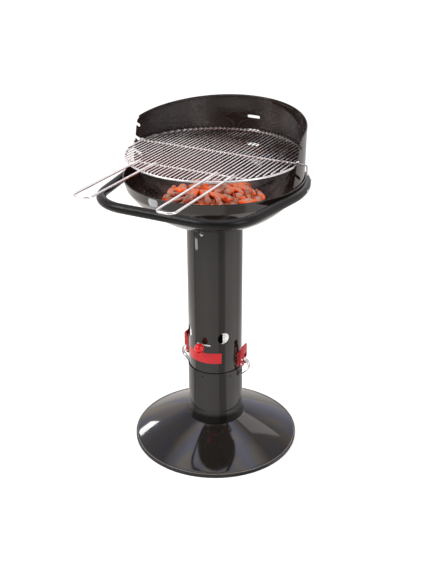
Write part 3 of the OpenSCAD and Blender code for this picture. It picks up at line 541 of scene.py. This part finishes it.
def joined(name, *parts):
    # one mesh of several closed shapes
    return merged(name, [outward(part) for part in parts])


def carve(obj, cutter, operation="DIFFERENCE"):
    outward(obj)
    boolean = obj.modifiers.new("carve", "BOOLEAN")
    boolean.operation, boolean.solver, boolean.object = operation, "EXACT", outward(cutter)
    evaluated(obj)
    bpy.data.objects.remove(cutter)
    return obj


def smoothed(mesh, sharp):
    for face in mesh.polygons:
        face.use_smooth, face.material_index = True, 0
    mesh.set_sharp_from_angle(angle=radians(sharp))


def trueRound(obj):
    # shading normals of a surface of revolution point straight away from the middle axis
    mesh, fixed, near = obj.data, [], cos(radians(8))
    for loop, corner in zip(mesh.loops, mesh.corner_normals):
        normal = corner.vector.copy()
        place = mesh.vertices[loop.vertex_index].co
        out, flat = Vector((place.x, place.y, 0)), Vector((normal.x, normal.y, 0))
        if out.length > 0.01 and flat.length > 0.15:
            out.normalize()
            side = flat.dot(out)
            if abs(side) > near * flat.length:
                out *= flat.length * (1 if side > 0 else -1)
                normal = Vector((out.x, out.y, normal.z)).normalized()
        fixed.append(normal)
    mesh.normals_split_custom_set(fixed)


def piece(obj, look, source=None, body="grill_body", sharp=35, tidy=True, roundShape=False):
    material, slot = look
    if tidy:
        outward(obj)
    obj.data.materials.clear()
    obj.data.materials.append(material)
    smoothed(obj.data, sharp)
    if roundShape:
        trueRound(obj)
    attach(obj, body)
    if source:
        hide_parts(source)
    return obj


def refined(source, look, body, edge, sharp=30):
    # a node's own shape with softly broken edges
    obj = linked(source + "Shape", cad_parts[source].data.copy())
    shape = bmesh.new()
    shape.from_mesh(obj.data)
    bmesh.ops.remove_doubles(shape, verts=shape.verts, dist=2e-6)
    bmesh.ops.dissolve_limit(shape, angle_limit=radians(0.8), verts=shape.verts, edges=shape.edges)
    shape.to_mesh(obj.data)
    shape.free()
    bevel = obj.modifiers.new("edges", "BEVEL")
    bevel.width, bevel.segments, bevel.use_clamp_overlap = edge * mm, 2, True
    bevel.limit_method, bevel.angle_limit = "ANGLE", radians(42)
    return piece(evaluated(obj), look, source, body, sharp, tidy=False)


def keep(source, look):
    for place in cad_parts[source].material_slots:
        place.material = look[0]


# Geometry Nodes: copies of a part, and wires across a ring

def newTree(name, inputs):
    tree = bpy.data.node_groups.new(name, "GeometryNodeTree")
    for label, kind in inputs.items():
        tree.interface.new_socket(label, in_out="INPUT", socket_type="NodeSocket" + kind)
    tree.interface.new_socket("Geometry", in_out="OUTPUT", socket_type="NodeSocketGeometry")
    return tree, node(tree, "NodeGroupInput")


def closedTree(tree, given, shape):
    coated = node(tree, "GeometryNodeSetMaterial", {"Geometry": shape, "Material": given["Finish"]})[0]
    node(tree, "NodeGroupOutput", {0: coated})
    return tree


def instances(tree, **given):
    placed = node(tree, "GeometryNodeInstanceOnPoints", given)[0]
    return node(tree, "GeometryNodeRealizeInstances", {0: placed})[0]


def rotation(angles):
    return node(angles.id_data, "FunctionNodeEulerToRotation", {0: angles})[0]


def run(tree, obj, values):
    modifier = obj.modifiers.new("nodes", "NODES")
    modifier.node_group = tree
    for item in tree.interface.items_tree:
        if item.in_out == "INPUT" and item.name in values:
            modifier[item.identifier] = values[item.name]
    return evaluated(obj)


def copiesTree():
    tree, given = newTree("copiesOfPart", {"Places": "Geometry", "Part": "Object", "Finish": "Material"})
    part = node(tree, "GeometryNodeObjectInfo", {"Object": given["Part"]})["Geometry"]
    turn = node(tree, "GeometryNodeInputNamedAttribute", {"Name": "turn"}, data_type="FLOAT_VECTOR")["Attribute"]
    shape = instances(tree, Points=given["Places"], Instance=part, Rotation=rotation(turn))
    return closedTree(tree, given, shape)


def wiresTree():
    # straight wires across a ring, each as long as the ring is wide there
    tree, given = newTree("wiresAcross", {
        "Geometry": "Geometry", "Wires": "Int", "Pitch": "Float", "Ring Radius": "Float", "Wire Radius": "Float",
        "Height": "Float", "Turn": "Float", "Finish": "Material"})

    def vector(*values):
        return node(tree, "ShaderNodeCombineXYZ", dict(enumerate(values)))[0]

    first = product(maths("SUBTRACT", given["Wires"], 1), given["Pitch"], -0.5)
    line = node(tree, "GeometryNodeMeshLine", {
        "Count": given["Wires"], "Start Location": vector(first, 0, given["Height"]),
        "Offset": vector(given["Pitch"], 0, 0)})[0]
    aside = axes(node(tree, "GeometryNodeInputPosition")[0])[0]
    squares = [maths("POWER", value, 2) for value in (given["Ring Radius"], aside)]
    half = maths("SQRT", maths("SUBTRACT", *squares))
    bar = node(tree, "GeometryNodeCurvePrimitiveLine", {"Start": (0, -1, 0), "End": (0, 1, 0)})[0]
    lines = instances(tree, Points=line, Instance=bar, Scale=vector(1, half, 1))
    section = node(tree, "GeometryNodeCurvePrimitiveCircle", {"Resolution": 12, "Radius": given["Wire Radius"]})[0]
    solid = node(tree, "GeometryNodeCurveToMesh", {"Fill Caps": True, "Curve": lines, "Profile Curve": section})[0]
    turned = node(tree, "GeometryNodeTransform", {"Geometry": solid, "Rotation": vector(0, 0, given["Turn"])})[0]
    return closedTree(tree, given, turned)


copies = copiesTree()
wires = wiresTree()


def fixings(name, part, spots, source):
    # zinc screws or nuts at spots of (place, turn); the part is one small mesh round the origin
    smoothed(outward(part).data, 30)
    obj = newObject(name, [place for place, _ in spots], [])
    turns = obj.data.attributes.new("turn", "FLOAT_VECTOR", "POINT")
    for item, (_, turn) in zip(turns.data, spots):
        item.vector = turn
    run(copies, obj, {"Part": part, "Finish": zincSteel[0]})
    bpy.data.objects.remove(part)
    piece(obj, zincSteel, source, tidy=False)


def strand(name, count, pitch, ringRadius, wireRadius, height, turn, look):
    lengths = {"Pitch": pitch, "Ring Radius": ringRadius, "Wire Radius": wireRadius, "Height": height}
    values = {"Wires": count, "Turn": turn, "Finish": look[0], **{key: value * mm for key, value in lengths.items()}}
    return run(wires, newObject(name, [], []), values)


def domeScrew(headRadius, headHeight, shankRadius, length):
    # dome head on z = 0, shank downwards, with a cross recess
    dome = (headRadius ** 2 + headHeight ** 2) / (2 * headHeight)
    start = degrees(asin((dome - headHeight) / dome))
    outline = [(0, -length), (shankRadius - 0.3, -length), (shankRadius, -length + 0.4), (shankRadius, 0),
               (headRadius - 0.15, 0)]
    outline += arc((0, headHeight - dome), dome, start + 1, 90, 8)[:-1] + [(0, headHeight)]
    arm, wide = headRadius * 0.55, headRadius * 0.14
    plus = [(wide, wide), (arm, wide), (arm, -wide), (wide, -wide), (wide, -arm), (-wide, -arm), (-wide, -wide),
            (-arm, -wide), (-arm, wide), (-wide, wide), (-wide, arm), (wide, arm)]
    return carve(lathe("screw", outline, 32), prism("cross", plus, (0, 0, headHeight * 0.35), headHeight))


def hexNut(across, height, bore):
    # hangs down from z = 0, with its corners rounded off towards both faces
    flat, point, corner = across * 0.5, across * 0.585, across / sqrt(3)
    outline = [(bore, -height + 0.2), (bore + 0.2, -height), (flat, -height), (point, -height + 0.5), (point, -0.5),
               (flat, 0), (bore + 0.2, 0), (bore, -0.2)]
    sides = [(corner * cos(k * pi / 3), corner * sin(k * pi / 3)) for k in range(6)]
    return carve(lathe("nut", outline, 48), prism("sides", sides, (0, 0, -height - 1), height + 2), "INTERSECT")


def fastened(name, s, height):
    # screws and their nuts that point away from the grill's axis
    screws, nuts = ([radial(a, reach, height) for a in s["screwAt"]] for reach in s["screwReach"])
    fixings(name + "Screws", domeScrew(*s["screw"]), screws, name + "_screws")
    fixings(name + "Nuts", hexNut(*s["nut"]), nuts, name + "_nuts")


# Foot and ash pot

foot = dict(
    height=79, wall=1.5, bulge=((-407.847, -1228.48), 1397.99, 69.2696, 62.4155), shoulder=14,
    roll=((239.9, 10), 1.1, 150, -10, 8), boltCircle=50, play=0.02,
    hem=[(241, 8.4), (241, 2.95), (239.5, 2.95), (239.5, 7.8), (238.5, 9.6)], bolt=(6, 3.6, 3, 10.1),
    nut=(10, 5.1, 3.05))
trim = dict(inner=235.95, grooveIn=239.35, grooveOut=241.15, outer=243.55, height=11, innerHeight=7, floor=2.9)
pot = dict(
    radius=80.3, wall=1.5, low=79.02, top=246.42, flareHeight=37, flareRadius=122.94, straight=40, slotLow=220.02,
    slotHigh=224.32, slotHalf=11, slotDeep=6, dimpleZ=232.96, dimple=2.5, dimpleOut=0.9, lugHalf=8.6,
    lug=[(-0.4, 10.2), (2.6, 7.5, 2), (3.7, 4.5, 2), (3.7, 0, 0.5), (2.2, 0, 0.4), (2.2, 4, 1), (-0.4, 8)])


def buildFoot(f):
    centre, radius, start, end = f["bulge"]
    top = arc(centre, radius, start, end, 40)
    under = arc(centre, radius - f["wall"], start, end, 40)
    shoulder = softened([(0, f["height"]), (*top[0], f["shoulder"]), top[5]], 8)[1:-1]
    outline = [(0, f["height"]), *shoulder, *top[5:-1], *arc(*f["roll"]), *f["hem"], *under[::-1][1:]]
    outline.append((0, f["height"] - f["wall"]))
    piece(lathe("baseDish", outline), footEnamel, "base_dish")


def buildTrim(t):
    # soft channel with a rounded back and a small lip over the dish
    outline = softened([
        (t["inner"], 0, 0.6), (t["outer"], 0, 1.2), (t["outer"], t["height"], 1.7), (t["grooveOut"], t["height"], 0.5),
        (t["grooveOut"], t["floor"]), (t["grooveIn"], t["floor"]), (t["grooveIn"], t["innerHeight"], 0.5),
        (t["inner"], t["innerHeight"], 1)], 5)
    piece(lathe("edgeTrim", outline), rubber, "edge_trim", sharp=50)


def buildPot(p):
    radius, wall, low, top, flare = p["radius"], p["wall"], p["low"], p["top"], p["flareRadius"]
    inner, straight, half = radius - wall, low + p["straight"], p["slotHalf"]
    middle = (radius + flare, low + p["flareHeight"])
    turn = degrees(asin(p["flareHeight"] / flare))
    inTurn = degrees(asin((p["flareHeight"] - wall) / (flare + wall)))
    outline = [(0, low)] + arc(middle, flare, 180 + turn, 180, 16)
    outline += softened([(radius, straight), (radius, top, 0.6), (inner, top, 0.6), (inner, straight)])[1:-1]
    outline += arc(middle, flare + wall, 180, 180 + inTurn, 16) + [(0, low + wall)]
    shell = lathe("ashPot", outline, 192)
    profile = softened([(radius + x, p["slotHigh"] + z, *corner) for x, z, *corner in p["lug"]])
    lugs = [sector("lug", profile, side - p["lugHalf"], side + p["lugHalf"], 14) for side in (90, 270)]
    ball = [(0, -p["dimple"])] + arc((0, 0), p["dimple"], -75, 75, 8) + [(0, p["dimple"])]
    cuts = [moved(lathe("dimple", ball, 24), around(radius + p["dimpleOut"], k * pi / 3, p["dimpleZ"]), Euler())
            for k in range(6)]
    across = [(x * p["slotDeep"], y * half) for x, y in ((-1, -1), (1, -1), (1, 1), (-1, 1))]
    cuts += [prism("slot", across, (x, 0, p["slotLow"]), p["slotHigh"] - p["slotLow"]) for x in (-radius, radius)]
    carve(shell, joined("cuts", *cuts))
    piece(shell, potEnamel, "ash_pot", roundShape=True)
    piece(joined("potLugs", *lugs), enamel, roundShape=True)


def buildBaseBolts(f, p):
    turns = (pi / 3, pi, 5 * pi / 3)
    onPot, underDish = p["low"] + p["wall"] + f["play"], f["height"] - f["wall"] - f["play"]
    bolts, nuts = ([(around(f["boltCircle"], a, height), Euler((0, 0, a))) for a in turns]
                   for height in (onPot, underDish))
    fixings("baseBolts", domeScrew(*f["bolt"]), bolts, "base_bolts")
    fixings("baseNuts", hexNut(*f["nut"]), nuts, "base_nuts")


buildFoot(foot)
buildTrim(trim)
buildPot(pot)
buildBaseBolts(foot, pot)
print("stage: foot and ash pot")


# Column with its air valve and label

column = dict(
    radius=78, wall=1.5, low=235.62, top=690.02, edge=0.5, holeRadius=17.5, holeZ=360.02, holeAngle=46,
    slotZ=337.02, slotHalf=3.5, slotTurn=15.253, drill=(60, 90), cut=(66, 84))
label = dict(radius=78.1, thick=0.35, low=280.02, high=313.02, angle=41, corner=1.6, steps=72)
knob = dict(radius=14, reach=98.5, bore=3.05, boreEnd=95, stemRadius=3, stem=(69.6, 94.9), thread=0.9)


def buildColumn(c):
    outer, inner, edge, angle = c["radius"], c["radius"] - c["wall"], c["edge"], c["holeAngle"]
    corners = ((outer, c["low"]), (outer, c["top"]), (inner, c["top"]), (inner, c["low"]))
    shell = lathe("column", softened([(*corner, edge) for corner in corners]))
    cuts = [drill(a, c["holeZ"], c["holeRadius"], *c["drill"]) for a in (angle, 180 - angle, 180 + angle, -angle)]
    line = longHole(outer * radians(c["slotTurn"]), c["slotHalf"], 12)
    ends = ([around(radius, x / outer, c["slotZ"] + z) for x, z in line] for radius in c["cut"])
    carve(shell, joined("cuts", *cuts, between("slot", *ends)))
    piece(shell, enamel, "column", roundShape=True)


def buildLabel(l):
    # thin bare strip with rounded corners, on the curve of the column
    corner, steps, reach = l["corner"], l["steps"], l["radius"] * radians(l["angle"])
    ends = [i * corner / 6 for i in range(6)]
    along = [-reach + e for e in ends]
    along += [-reach + corner + (2 * reach - 2 * corner) * k / steps for k in range(steps + 1)]
    along += [reach - e for e in ends[::-1]]
    verts = []
    for s in along:
        inset = corner - (reach - abs(s))
        cut = corner - sqrt(max(0, corner ** 2 - max(0, inset) ** 2))
        verts += [around(radius, s / l["radius"], z) for radius in (l["radius"], l["radius"] + l["thick"])
                  for z in (l["low"] + cut, l["high"] - cut)]
    faces = [[0, 1, 3, 2], [len(verts) - 4, len(verts) - 2, len(verts) - 1, len(verts) - 3]]
    for a in range(0, len(verts) - 4, 4):
        faces += [[a + x, a + y, a + 4 + y, a + 4 + x] for x, y in ((0, 1), (1, 3), (3, 2), (2, 0))]
    piece(newObject("labelBand", verts, faces), labelRed, "label_band", roundShape=True)


def buildKnob(k, c):
    ball = arc((0, 0), k["radius"], -78, 90, 40)
    bore, boreEnd = k["bore"], k["boreEnd"] - k["reach"]
    outline = [(0, ball[-1][1])] + ball[::-1][1:] + [(ball[0][0] - 0.4, ball[0][1] - 0.2)]
    outline += [(bore, -k["radius"] * 0.9), (bore, boreEnd), (0, boreEnd)]
    knobBall = moved(lathe("airKnob", outline, 96), *radial(0, k["reach"], c["slotZ"]))
    piece(knobBall, ballRed, "air_knob", "air_valve")
    radius, thread, (low, high) = k["stemRadius"], k["thread"], k["stem"]
    stem = [(0, low)]
    for i in range(int((high - low) / thread)):
        z = low + i * thread
        stem += [(radius - 0.35, z), (radius, z + thread * 0.35), (radius, z + thread * 0.6)]
    stem += [(radius - 0.4, high), (0, high)]
    pin = moved(lathe("knobStem", stem, 32), *radial(0, 0, c["slotZ"]))
    piece(pin, zincSteel, "knob_stem", "air_valve")


buildColumn(column)
buildLabel(label)
buildKnob(knob, column)
trueRound(refined("air_ring", galvanised, "air_valve", 0.2))
keep("knob_nut", zincSteel)
print("stage: column")


# Draw latches

latch = dict(plateEdge=0.35, leverEdge=0.45, hookEdge=0.4)


def buildLatches(l):
    for side in ("left", "right"):
        refined("latch_base_" + side, leverRed, "grill_body", l["plateEdge"])
        refined("latch_lever_" + side, leverRed, "lever_" + side, l["leverEdge"])
        refined("latch_hook_" + side, zincSteel, "hook_" + side, l["hookEdge"], 24)
        keep("lever_pin_" + side, zincSteel)
        keep("hook_pin_" + side, zincSteel)
    keep("latch_rivets", zincSteel)


buildLatches(latch)
print("stage: latches")


# Bowl, fire grate and coals

bowl = dict(
    rimCentre=(245.8, 828.04), bead=1.8, wall=1.6, crease=(239.6, 801.04), bandOut=7, bandRise=27,
    inside=[(238.284, 801.95, 5), (244.4, 826.6)], curve=((11.5652, 958.678), 277.217, -34.6556, -75.708),
    neck=76.2, low=690.04, neckLow=668.04, screwZ=678.02, screwAt=(0, 120, 240), screw=(5, 3, 2.5, 11.3),
    nut=(8, 4, 2.55), screwReach=(78.02, 74.43))
fire = dict(radius=155, rim=2.5, wire=2, pitch=15, wires=21, z=726.609, wireZ=730.709)
# layers of lumps: radius, height, seed, least distance in metres
heap = dict(
    radius=150, low=733.1, high=788.5, rise=22, rings=12, sides=40, length=0.025,
    layers=((138, 742, 11, 0.026), (131, 757, 27, 0.031)), density=9000, wave=(0.0004, 900),
    turn=((-0.5, -0.35, -3.1), (0.5, 0.35, 3.1), 3), scale=((0.95, 0.36, 0.36), (1.5, 0.5, 0.48), 5),
    bumps=((26, 0.02), (90, 0.004), (300, 0.0012)), bumpMiddle=0.52)


def buildBowl(b):
    centre, radius, start, end = b["curve"]
    out, inside = arc(centre, radius, start, end, 48), arc(centre, radius - b["wall"], start, end, 48)
    outline = arc(b["rimCentre"], b["bead"], 225, -50, 14)
    bend = softened([outline[-1], (*b["crease"], 5), out[2]], 5)[1:-1]
    # two more rings near the ends of the straight band keep its mirror flat
    (r0, z0), (r1, z1) = outline[-1], bend[0]
    outline += [(r0 + (r1 - r0) * k, z0 + (z1 - z0) * k) for k in (0.08, 0.92)] + bend + out[2:-2]
    neck, bore, low, neckLow = b["neck"], b["neck"] - b["wall"], b["low"], b["neckLow"]
    outline += softened([out[-3], (*out[-1], 4), (neck, low, 0.8), (neck, neckLow, 0.6), (bore, neckLow, 0.6),
                         (bore, low + b["wall"], 2.5), inside[-2]], 4)[1:-1]
    outline += inside[::-1][1:-2] + softened([inside[2], *b["inside"]], 5)[1:-1]
    piece(lathe("bowl", outline), bowlEnamel, "bowl", sharp=40)
    fastened("bowl", b, b["screwZ"])


def buildFireGrate(f):
    cross = strand("cross", f["wires"], f["pitch"], f["radius"], f["wire"], f["wireZ"], pi / 2, fireWire)
    bearers = strand("bearers", 2, f["radius"], f["radius"], f["rim"], f["z"], 0.0, fireWire)
    rim = lathe("rim", arc((f["radius"], f["z"]), f["rim"], 0, 330, 11), 144)
    piece(joined("fireGrate", cross, bearers, rim), fireWire, "fire_grate", "fire_bed")


def coalTree(h):
    # knobbly lumps scattered over the heap, each at its own turn and size
    tree, given = newTree("coalHeap", {"Heap": "Geometry", "Least Distance": "Float", "Seed": "Int",
                                       "Length": "Float", "Finish": "Material"})

    def randomVector(low, high, seed):
        return node(tree, "FunctionNodeRandomValue", {0: low, 1: high, "Seed": seed}, data_type="FLOAT_VECTOR")[0]

    scatter = {"Density Max": h["density"], "Mesh": given["Heap"], "Distance Min": given["Least Distance"],
               "Seed": given["Seed"]}
    points = node(tree, "GeometryNodeDistributePointsOnFaces", scatter, distribute_method="POISSON")["Points"]
    lump = node(tree, "GeometryNodeMeshIcoSphere", {"Subdivisions": 4, "Radius": given["Length"]})["Mesh"]
    turns = rotation(randomVector(*h["turn"]))
    bump = instances(tree, Points=points, Instance=lump, Rotation=turns, Scale=randomVector(*h["scale"]))
    for scale, depth in h["bumps"]:
        rough = node(tree, "ShaderNodeTexNoise", {"Scale": scale, "Detail": 2})["Fac"]
        size = product(maths("SUBTRACT", rough, h["bumpMiddle"]), depth)
        shift = scaled(node(tree, "GeometryNodeInputNormal")[0], size)
        bump = node(tree, "GeometryNodeSetPosition", {"Geometry": bump, "Offset": shift})[0]
    return closedTree(tree, given, bump)


def buildCoals(h):
    tree, layers = coalTree(h), []
    count, sides = h["rings"], h["sides"]
    for radius, base, seed, distance in h["layers"]:
        verts = []
        for k in range(count + 1):
            r, z = radius * k / count, base + h["rise"] * (1 - (k / count) ** 2) * 0.8
            verts += [(r * cos(2 * pi * j / sides), r * sin(2 * pi * j / sides), z) for j in range(sides)]
        layer = outward(newObject("heapBase", verts, quads(sides, count + 1)))
        values = {"Least Distance": distance, "Seed": seed, "Length": h["length"], "Finish": coal[0]}
        layers.append(run(tree, layer, values))
    obj = merged("charcoalHeap", layers)
    low, high, reach = h["low"] * mm, h["high"] * mm, h["radius"] * mm
    height, waves = h["wave"]
    for vert in obj.data.vertices:
        flat = hypot(vert.co.x, vert.co.y)
        if flat > reach:
            vert.co.x, vert.co.y = vert.co.x * reach / flat, vert.co.y * reach / flat
        vert.co.z = min(max(vert.co.z, low + height * sin(vert.co.x * waves)), high)
    piece(obj, coal, "charcoal", "fire_bed", sharp=180, tidy=False)


buildBowl(bowl)
buildFireGrate(fire)
buildCoals(heap)
print("stage: bowl, fire grate and coals")


# Handle

handle = dict(
    radius=12.9, z=808.74, reach=296.2, corner=112.5, converge=8.7, side=247.796, arm=165.135, barHalf=108.761,
    wrap=35, gap=0.6, sides=48, screwAt=(98, 117, -98, -117), cap=((0.01, 0), (0.34, 0), (0.5, 0.5), (0.6, 1.4)),
    screw=(5, 2.6, 2.5, 30.8), nut=(8, 4, 2.55), screwReach=(260.716, 236.895))


def bandRadius(z):
    radius, height = bowl["crease"]
    return radius + bowl["bandOut"] * (z - height) / bowl["bandRise"]


def onCircle(radius, a, x=0, y=0):
    # place and direction
    return (x + radius * cos(a), y + radius * sin(a)), (-sin(a), cos(a))


def handlePath(h):
    # right half from the middle of the front bar to the end at the back
    turn, middle = radians(h["converge"]), (h["barHalf"], h["corner"] - h["reach"])
    points = [((h["barHalf"] * k / 6, -h["reach"]), (1, 0)) for k in range(6)]
    points += [onCircle(h["corner"], -pi / 2 + (pi / 2 - turn) * k / 32, *middle) for k in range(33)]
    for k in range(1, 6):
        x, y = h["side"], -h["arm"] * (1 - k / 6)
        place = (x * cos(turn) + y * sin(turn), y * cos(turn) - x * sin(turn))
        points.append((place, (sin(turn), cos(turn))))
    total = turn + radians(h["wrap"])
    return points + [onCircle(h["side"], -turn + total * k / 40) for k in range(41)]


def handleRing(h, point, direction, radius):
    # one ring of the tube, flattened where the bowl's band lies against it
    (x, y), (dx, dy) = point, direction
    ring = []
    for k in range(h["sides"]):
        a = 2 * pi * k / h["sides"]
        px, py, pz = x + dy * radius * cos(a), y - dx * radius * cos(a), h["z"] + radius * sin(a)
        flat, least = hypot(px, py), bandRadius(pz) + h["gap"]
        if 200 < flat < least:
            px, py = px * least / flat, py * least / flat
        ring.append((px, py, pz))
    return ring


def buildHandle(h):
    half = handlePath(h)
    path = [((-x, y), (dx, -dy)) for (x, y), (dx, dy) in half[:0:-1]] + half
    rod = skinned("handleTube", [handleRing(h, *spot, h["radius"]) for spot in path])
    piece(rod, satinBlack, "handle_tube", sharp=28)
    caps = []
    for side in (1, -1):
        rings = []
        for turn, less in h["cap"]:
            (x, y), (dx, dy) = onCircle(h["side"], radians(h["wrap"] + turn))
            rings.append(handleRing(h, (side * x, y), (side * dx, dy), h["radius"] - less))
        caps.append(skinned("cap", rings))
    piece(joined("handleCaps", *caps), blackPlastic, "handle_caps")
    fastened("handle", h, h["z"])


buildHandle(handle)
print("stage: handle")


# Windshield

shield = dict(
    foot=821.34, footRadius=242.975, lean=0.9, wall=1.5, rim=829.84, side=123.7, slope=0.136819, front=25,
    endLean=14.8, corner=15, hemProud=1.2, hemStart=15, turn=99, steps=264, levels=(845.74, 886.54, 927.34),
    notchY=15.4, notchRise=33, notchWide=7.8, slotWide=39, slotHigh=8, slotDrop=0.7, tabs=(93, 122),
    tab=[(238.39, 803.54), (242.775, 821.64), (242.775, 826.3), (241.775, 826.3), (241.775, 821.64),
        (236.89, 803.54)])


def shieldRadius(z):
    return shield["footRadius"] + (z - shield["foot"]) * tan(radians(shield["lean"]))


def shieldEdge(y):
    return shield["rim"] + shield["side"] + shield["slope"] * y


def hemSection(s):
    # points of (plain offset, hem offset, plain drop, hem drop)
    wall, proud = s["wall"], s["hemProud"]
    section = [(0, 0, 9.4, 9.4), (0, 0, 8.7, 8.5), (0, 0.45, 7, 7.9), (0, 0.6, 5, 7.1)]
    for k in range(9):
        x, y = cos(pi * k / 8), sin(pi * k / 8)
        section.append((-0.75 + 0.75 * x, -1.05 + 1.65 * x, 0.75 - 0.75 * y, 1.25 - 1.65 * y))
    return section + [(-wall, -wall - proud, 5, 7.1), (-wall, -wall - proud * 0.8, 7, 7.9), (-wall, -wall, 8.7, 8.5),
                      (-wall, -wall, 9.4, 9.4)]


def shieldSheet(s):
    section, top = hemSection(s), s["rim"] + s["side"]
    hemY = -s["front"] + s["side"] * tan(radians(s["endLean"])) + s["hemStart"]
    verts = []
    for k in range(s["steps"] + 1):
        phi, edge = radians(-s["turn"] + 2 * s["turn"] * k / s["steps"]), top
        for _ in range(3):
            y = shieldRadius(edge) * cos(phi)
            edge = shieldEdge(y)
        share = min(1, max(0, (shieldRadius(edge) * cos(phi) - hemY + 1) / 5))
        share = share * share * (3 - 2 * share)
        ring = [(p + (h - p) * share, edge - (pd + (hd - pd) * share)) for p, h, pd, hd in section]
        ring = [(0, s["foot"]), *ring, (-s["wall"], s["foot"])]
        verts += [((shieldRadius(z) + o) * sin(phi), (shieldRadius(z) + o) * cos(phi), z) for o, z in ring]
    count, total = len(ring), len(verts)
    ends = [list(range(count)), list(range(total - count, total))]
    return newObject("windshield", verts, ends + quads(count, s["steps"] + 1))


def throughSide(name, outline):
    return prism(name, outline, (-300, 0, 0), 600, alongY, alongZ, alongX)


def buildWindshield(s):
    sheet, lean, rise = shieldSheet(s), radians(s["endLean"]), atan(s["slope"])
    # slanted ends with round upper corners
    yTop = -s["front"] + s["side"] * tan(lean)
    cut = s["corner"] * tan((pi / 2 + lean - rise) / 2)
    start = Vector((yTop, shieldEdge(yTop))) - cut * Vector((sin(lean), cos(lean)))
    middle = start + s["corner"] * Vector((cos(lean), -sin(lean)))
    bend = arc(middle, s["corner"], 180 - s["endLean"], 90 + degrees(rise), 10)
    under, (x, y), back = s["foot"] - 2, bend[-1], 270
    low = -s["front"] + (under - s["rim"]) * tan(lean)
    side = [(low, under), *bend, (x + 0.2, y + 6), (back, shieldEdge(back) + 6), (back, under)]
    carve(sheet, throughSide("side", side), "INTERSECT")
    cuts, a, half = [], radians(180 - s["notchRise"]), s["notchWide"] / 2
    notch = arc((0, 0), half, 90, 270, 12) + [(80, -half), (80, half)]
    slot = longHole((s["slotWide"] - s["slotHigh"]) / 2, s["slotHigh"] / 2, 10)
    for z in s["levels"]:
        cuts.append(throughSide("notch", [(s["notchY"] + x * cos(a) - y * sin(a), z + x * sin(a) + y * cos(a))
                                          for x, y in notch]))
        cuts.append(prism("slot", slot, (0, 230, z - s["slotDrop"]), 30, alongX, alongZ, alongY))
    carve(sheet, joined("cuts", *cuts))
    piece(sheet, shieldEnamel, "windshield", roundShape=True)
    tabs = [sector("tab", s["tab"], *(side * a for a in s["tabs"]), 40) for side in (1, -1)]
    piece(joined("shieldTabs", *tabs), shieldEnamel, roundShape=True)


buildWindshield(shield)
print("stage: windshield")


# Cooking grate

grate = dict(
    z=885.54, radius=237.384, ring=2.8, wire=1.8, pitch=11.9, wires=39, wireZ=890.16, wireReach=237.784,
    support=2.5, supportZ=885.86, crossY=15.4, seatZ=885.44, ringX=236.884, hump=5.35, out=25, drop=24.9, bend=4,
    frontY=157, loop=3, loopZ=891.36, loopReach=461, loopCorner=17, inner=89.25, outer=136.85, rearZ=884.44,
    rearY=244.367, rearFrom=239.4, rearHalf=10, rearCorner=3)


def chromeBar(name, path, radius, sides, source, roundEnds=True):
    piece(tube(name, path, radius, sides, roundEnds), chromeWire, source, "cooking_grate")


def buildGrate(g):
    ring = lathe("grateRing", arc((g["radius"], g["z"]), g["ring"], 0, 345, 23))
    piece(ring, chromeWire, "grate_ring", "cooking_grate")
    strands = strand("grateWires", g["wires"], g["pitch"], g["wireReach"], g["wire"], g["wireZ"], 0.0, chromeWire)
    piece(strands, chromeWire, "grate_wires", "cooking_grate", tidy=False)
    # long cross wire: over the ring, through the notches and down outside
    reach, bend, seat, thick = g["radius"] + g["out"], g["bend"], g["seatZ"], g["support"]
    half = [(x, g["supportZ"]) for x in (0, 60, 120, 180, 220, 226)]
    half += arc((g["ringX"], g["z"]), g["hump"], 176, 62, 14)
    half += [(g["ringX"] + 6.4, seat + 0.5), (g["ringX"] + 9, seat), (reach - bend - 3, seat)]
    half += arc((reach - bend, seat - bend), bend, 90, 0, 8) + [(reach, seat - g["drop"])]
    path = [(-x, g["crossY"], z) for x, z in half[:0:-1]] + [(x, g["crossY"], z) for x, z in half]
    chromeBar("grateCrossWire", path, thick, 20, "grate_cross_wire")
    edge = sqrt((g["radius"] - g["ring"]) ** 2 - g["frontY"] ** 2) - 2.6
    path = [(x * edge, -g["frontY"], g["supportZ"]) for x in (-1, -0.5, 0, 0.5, 1)]
    chromeBar("grateFrontWire", path, thick, 16, "grate_front_wire")
    # handle loops
    tip, r, inner, outer = -g["loopReach"] + g["loop"], g["loopCorner"], g["inner"], g["outer"]
    start = -(g["frontY"] + thick - 1) + 2 * thick - 2.3
    legs = [start, start - 60, start - 140]
    line = [(inner, y) for y in legs] + arc((inner + r, tip + r), r, 180, 270, 12)
    line += arc((outer - r, tip + r), r, 270, 360, 12) + [(outer, y) for y in legs[::-1]]
    for name, side in (("right", 1), ("left", -1)):
        path = [(side * x, y, g["loopZ"]) for x, y in line]
        chromeBar("grateHandle" + name.title(), path, g["loop"], 20, "grate_handle_" + name)
    r, x, y, start = g["rearCorner"], g["rearHalf"], g["rearY"], g["rearFrom"]
    line = [(x, start), (x, y - r)] + arc((x - r, y - r), r, 0, 90, 6) + arc((r - x, y - r), r, 90, 180, 6)
    path = [(a, b, g["rearZ"]) for a, b in [*line, (-x, y - r), (-x, start)]]
    chromeBar("grateRearHook", path, g["wire"], 16, "grate_rear_hook", roundEnds=False)


buildGrate(grate)
print("stage: cooking grate")
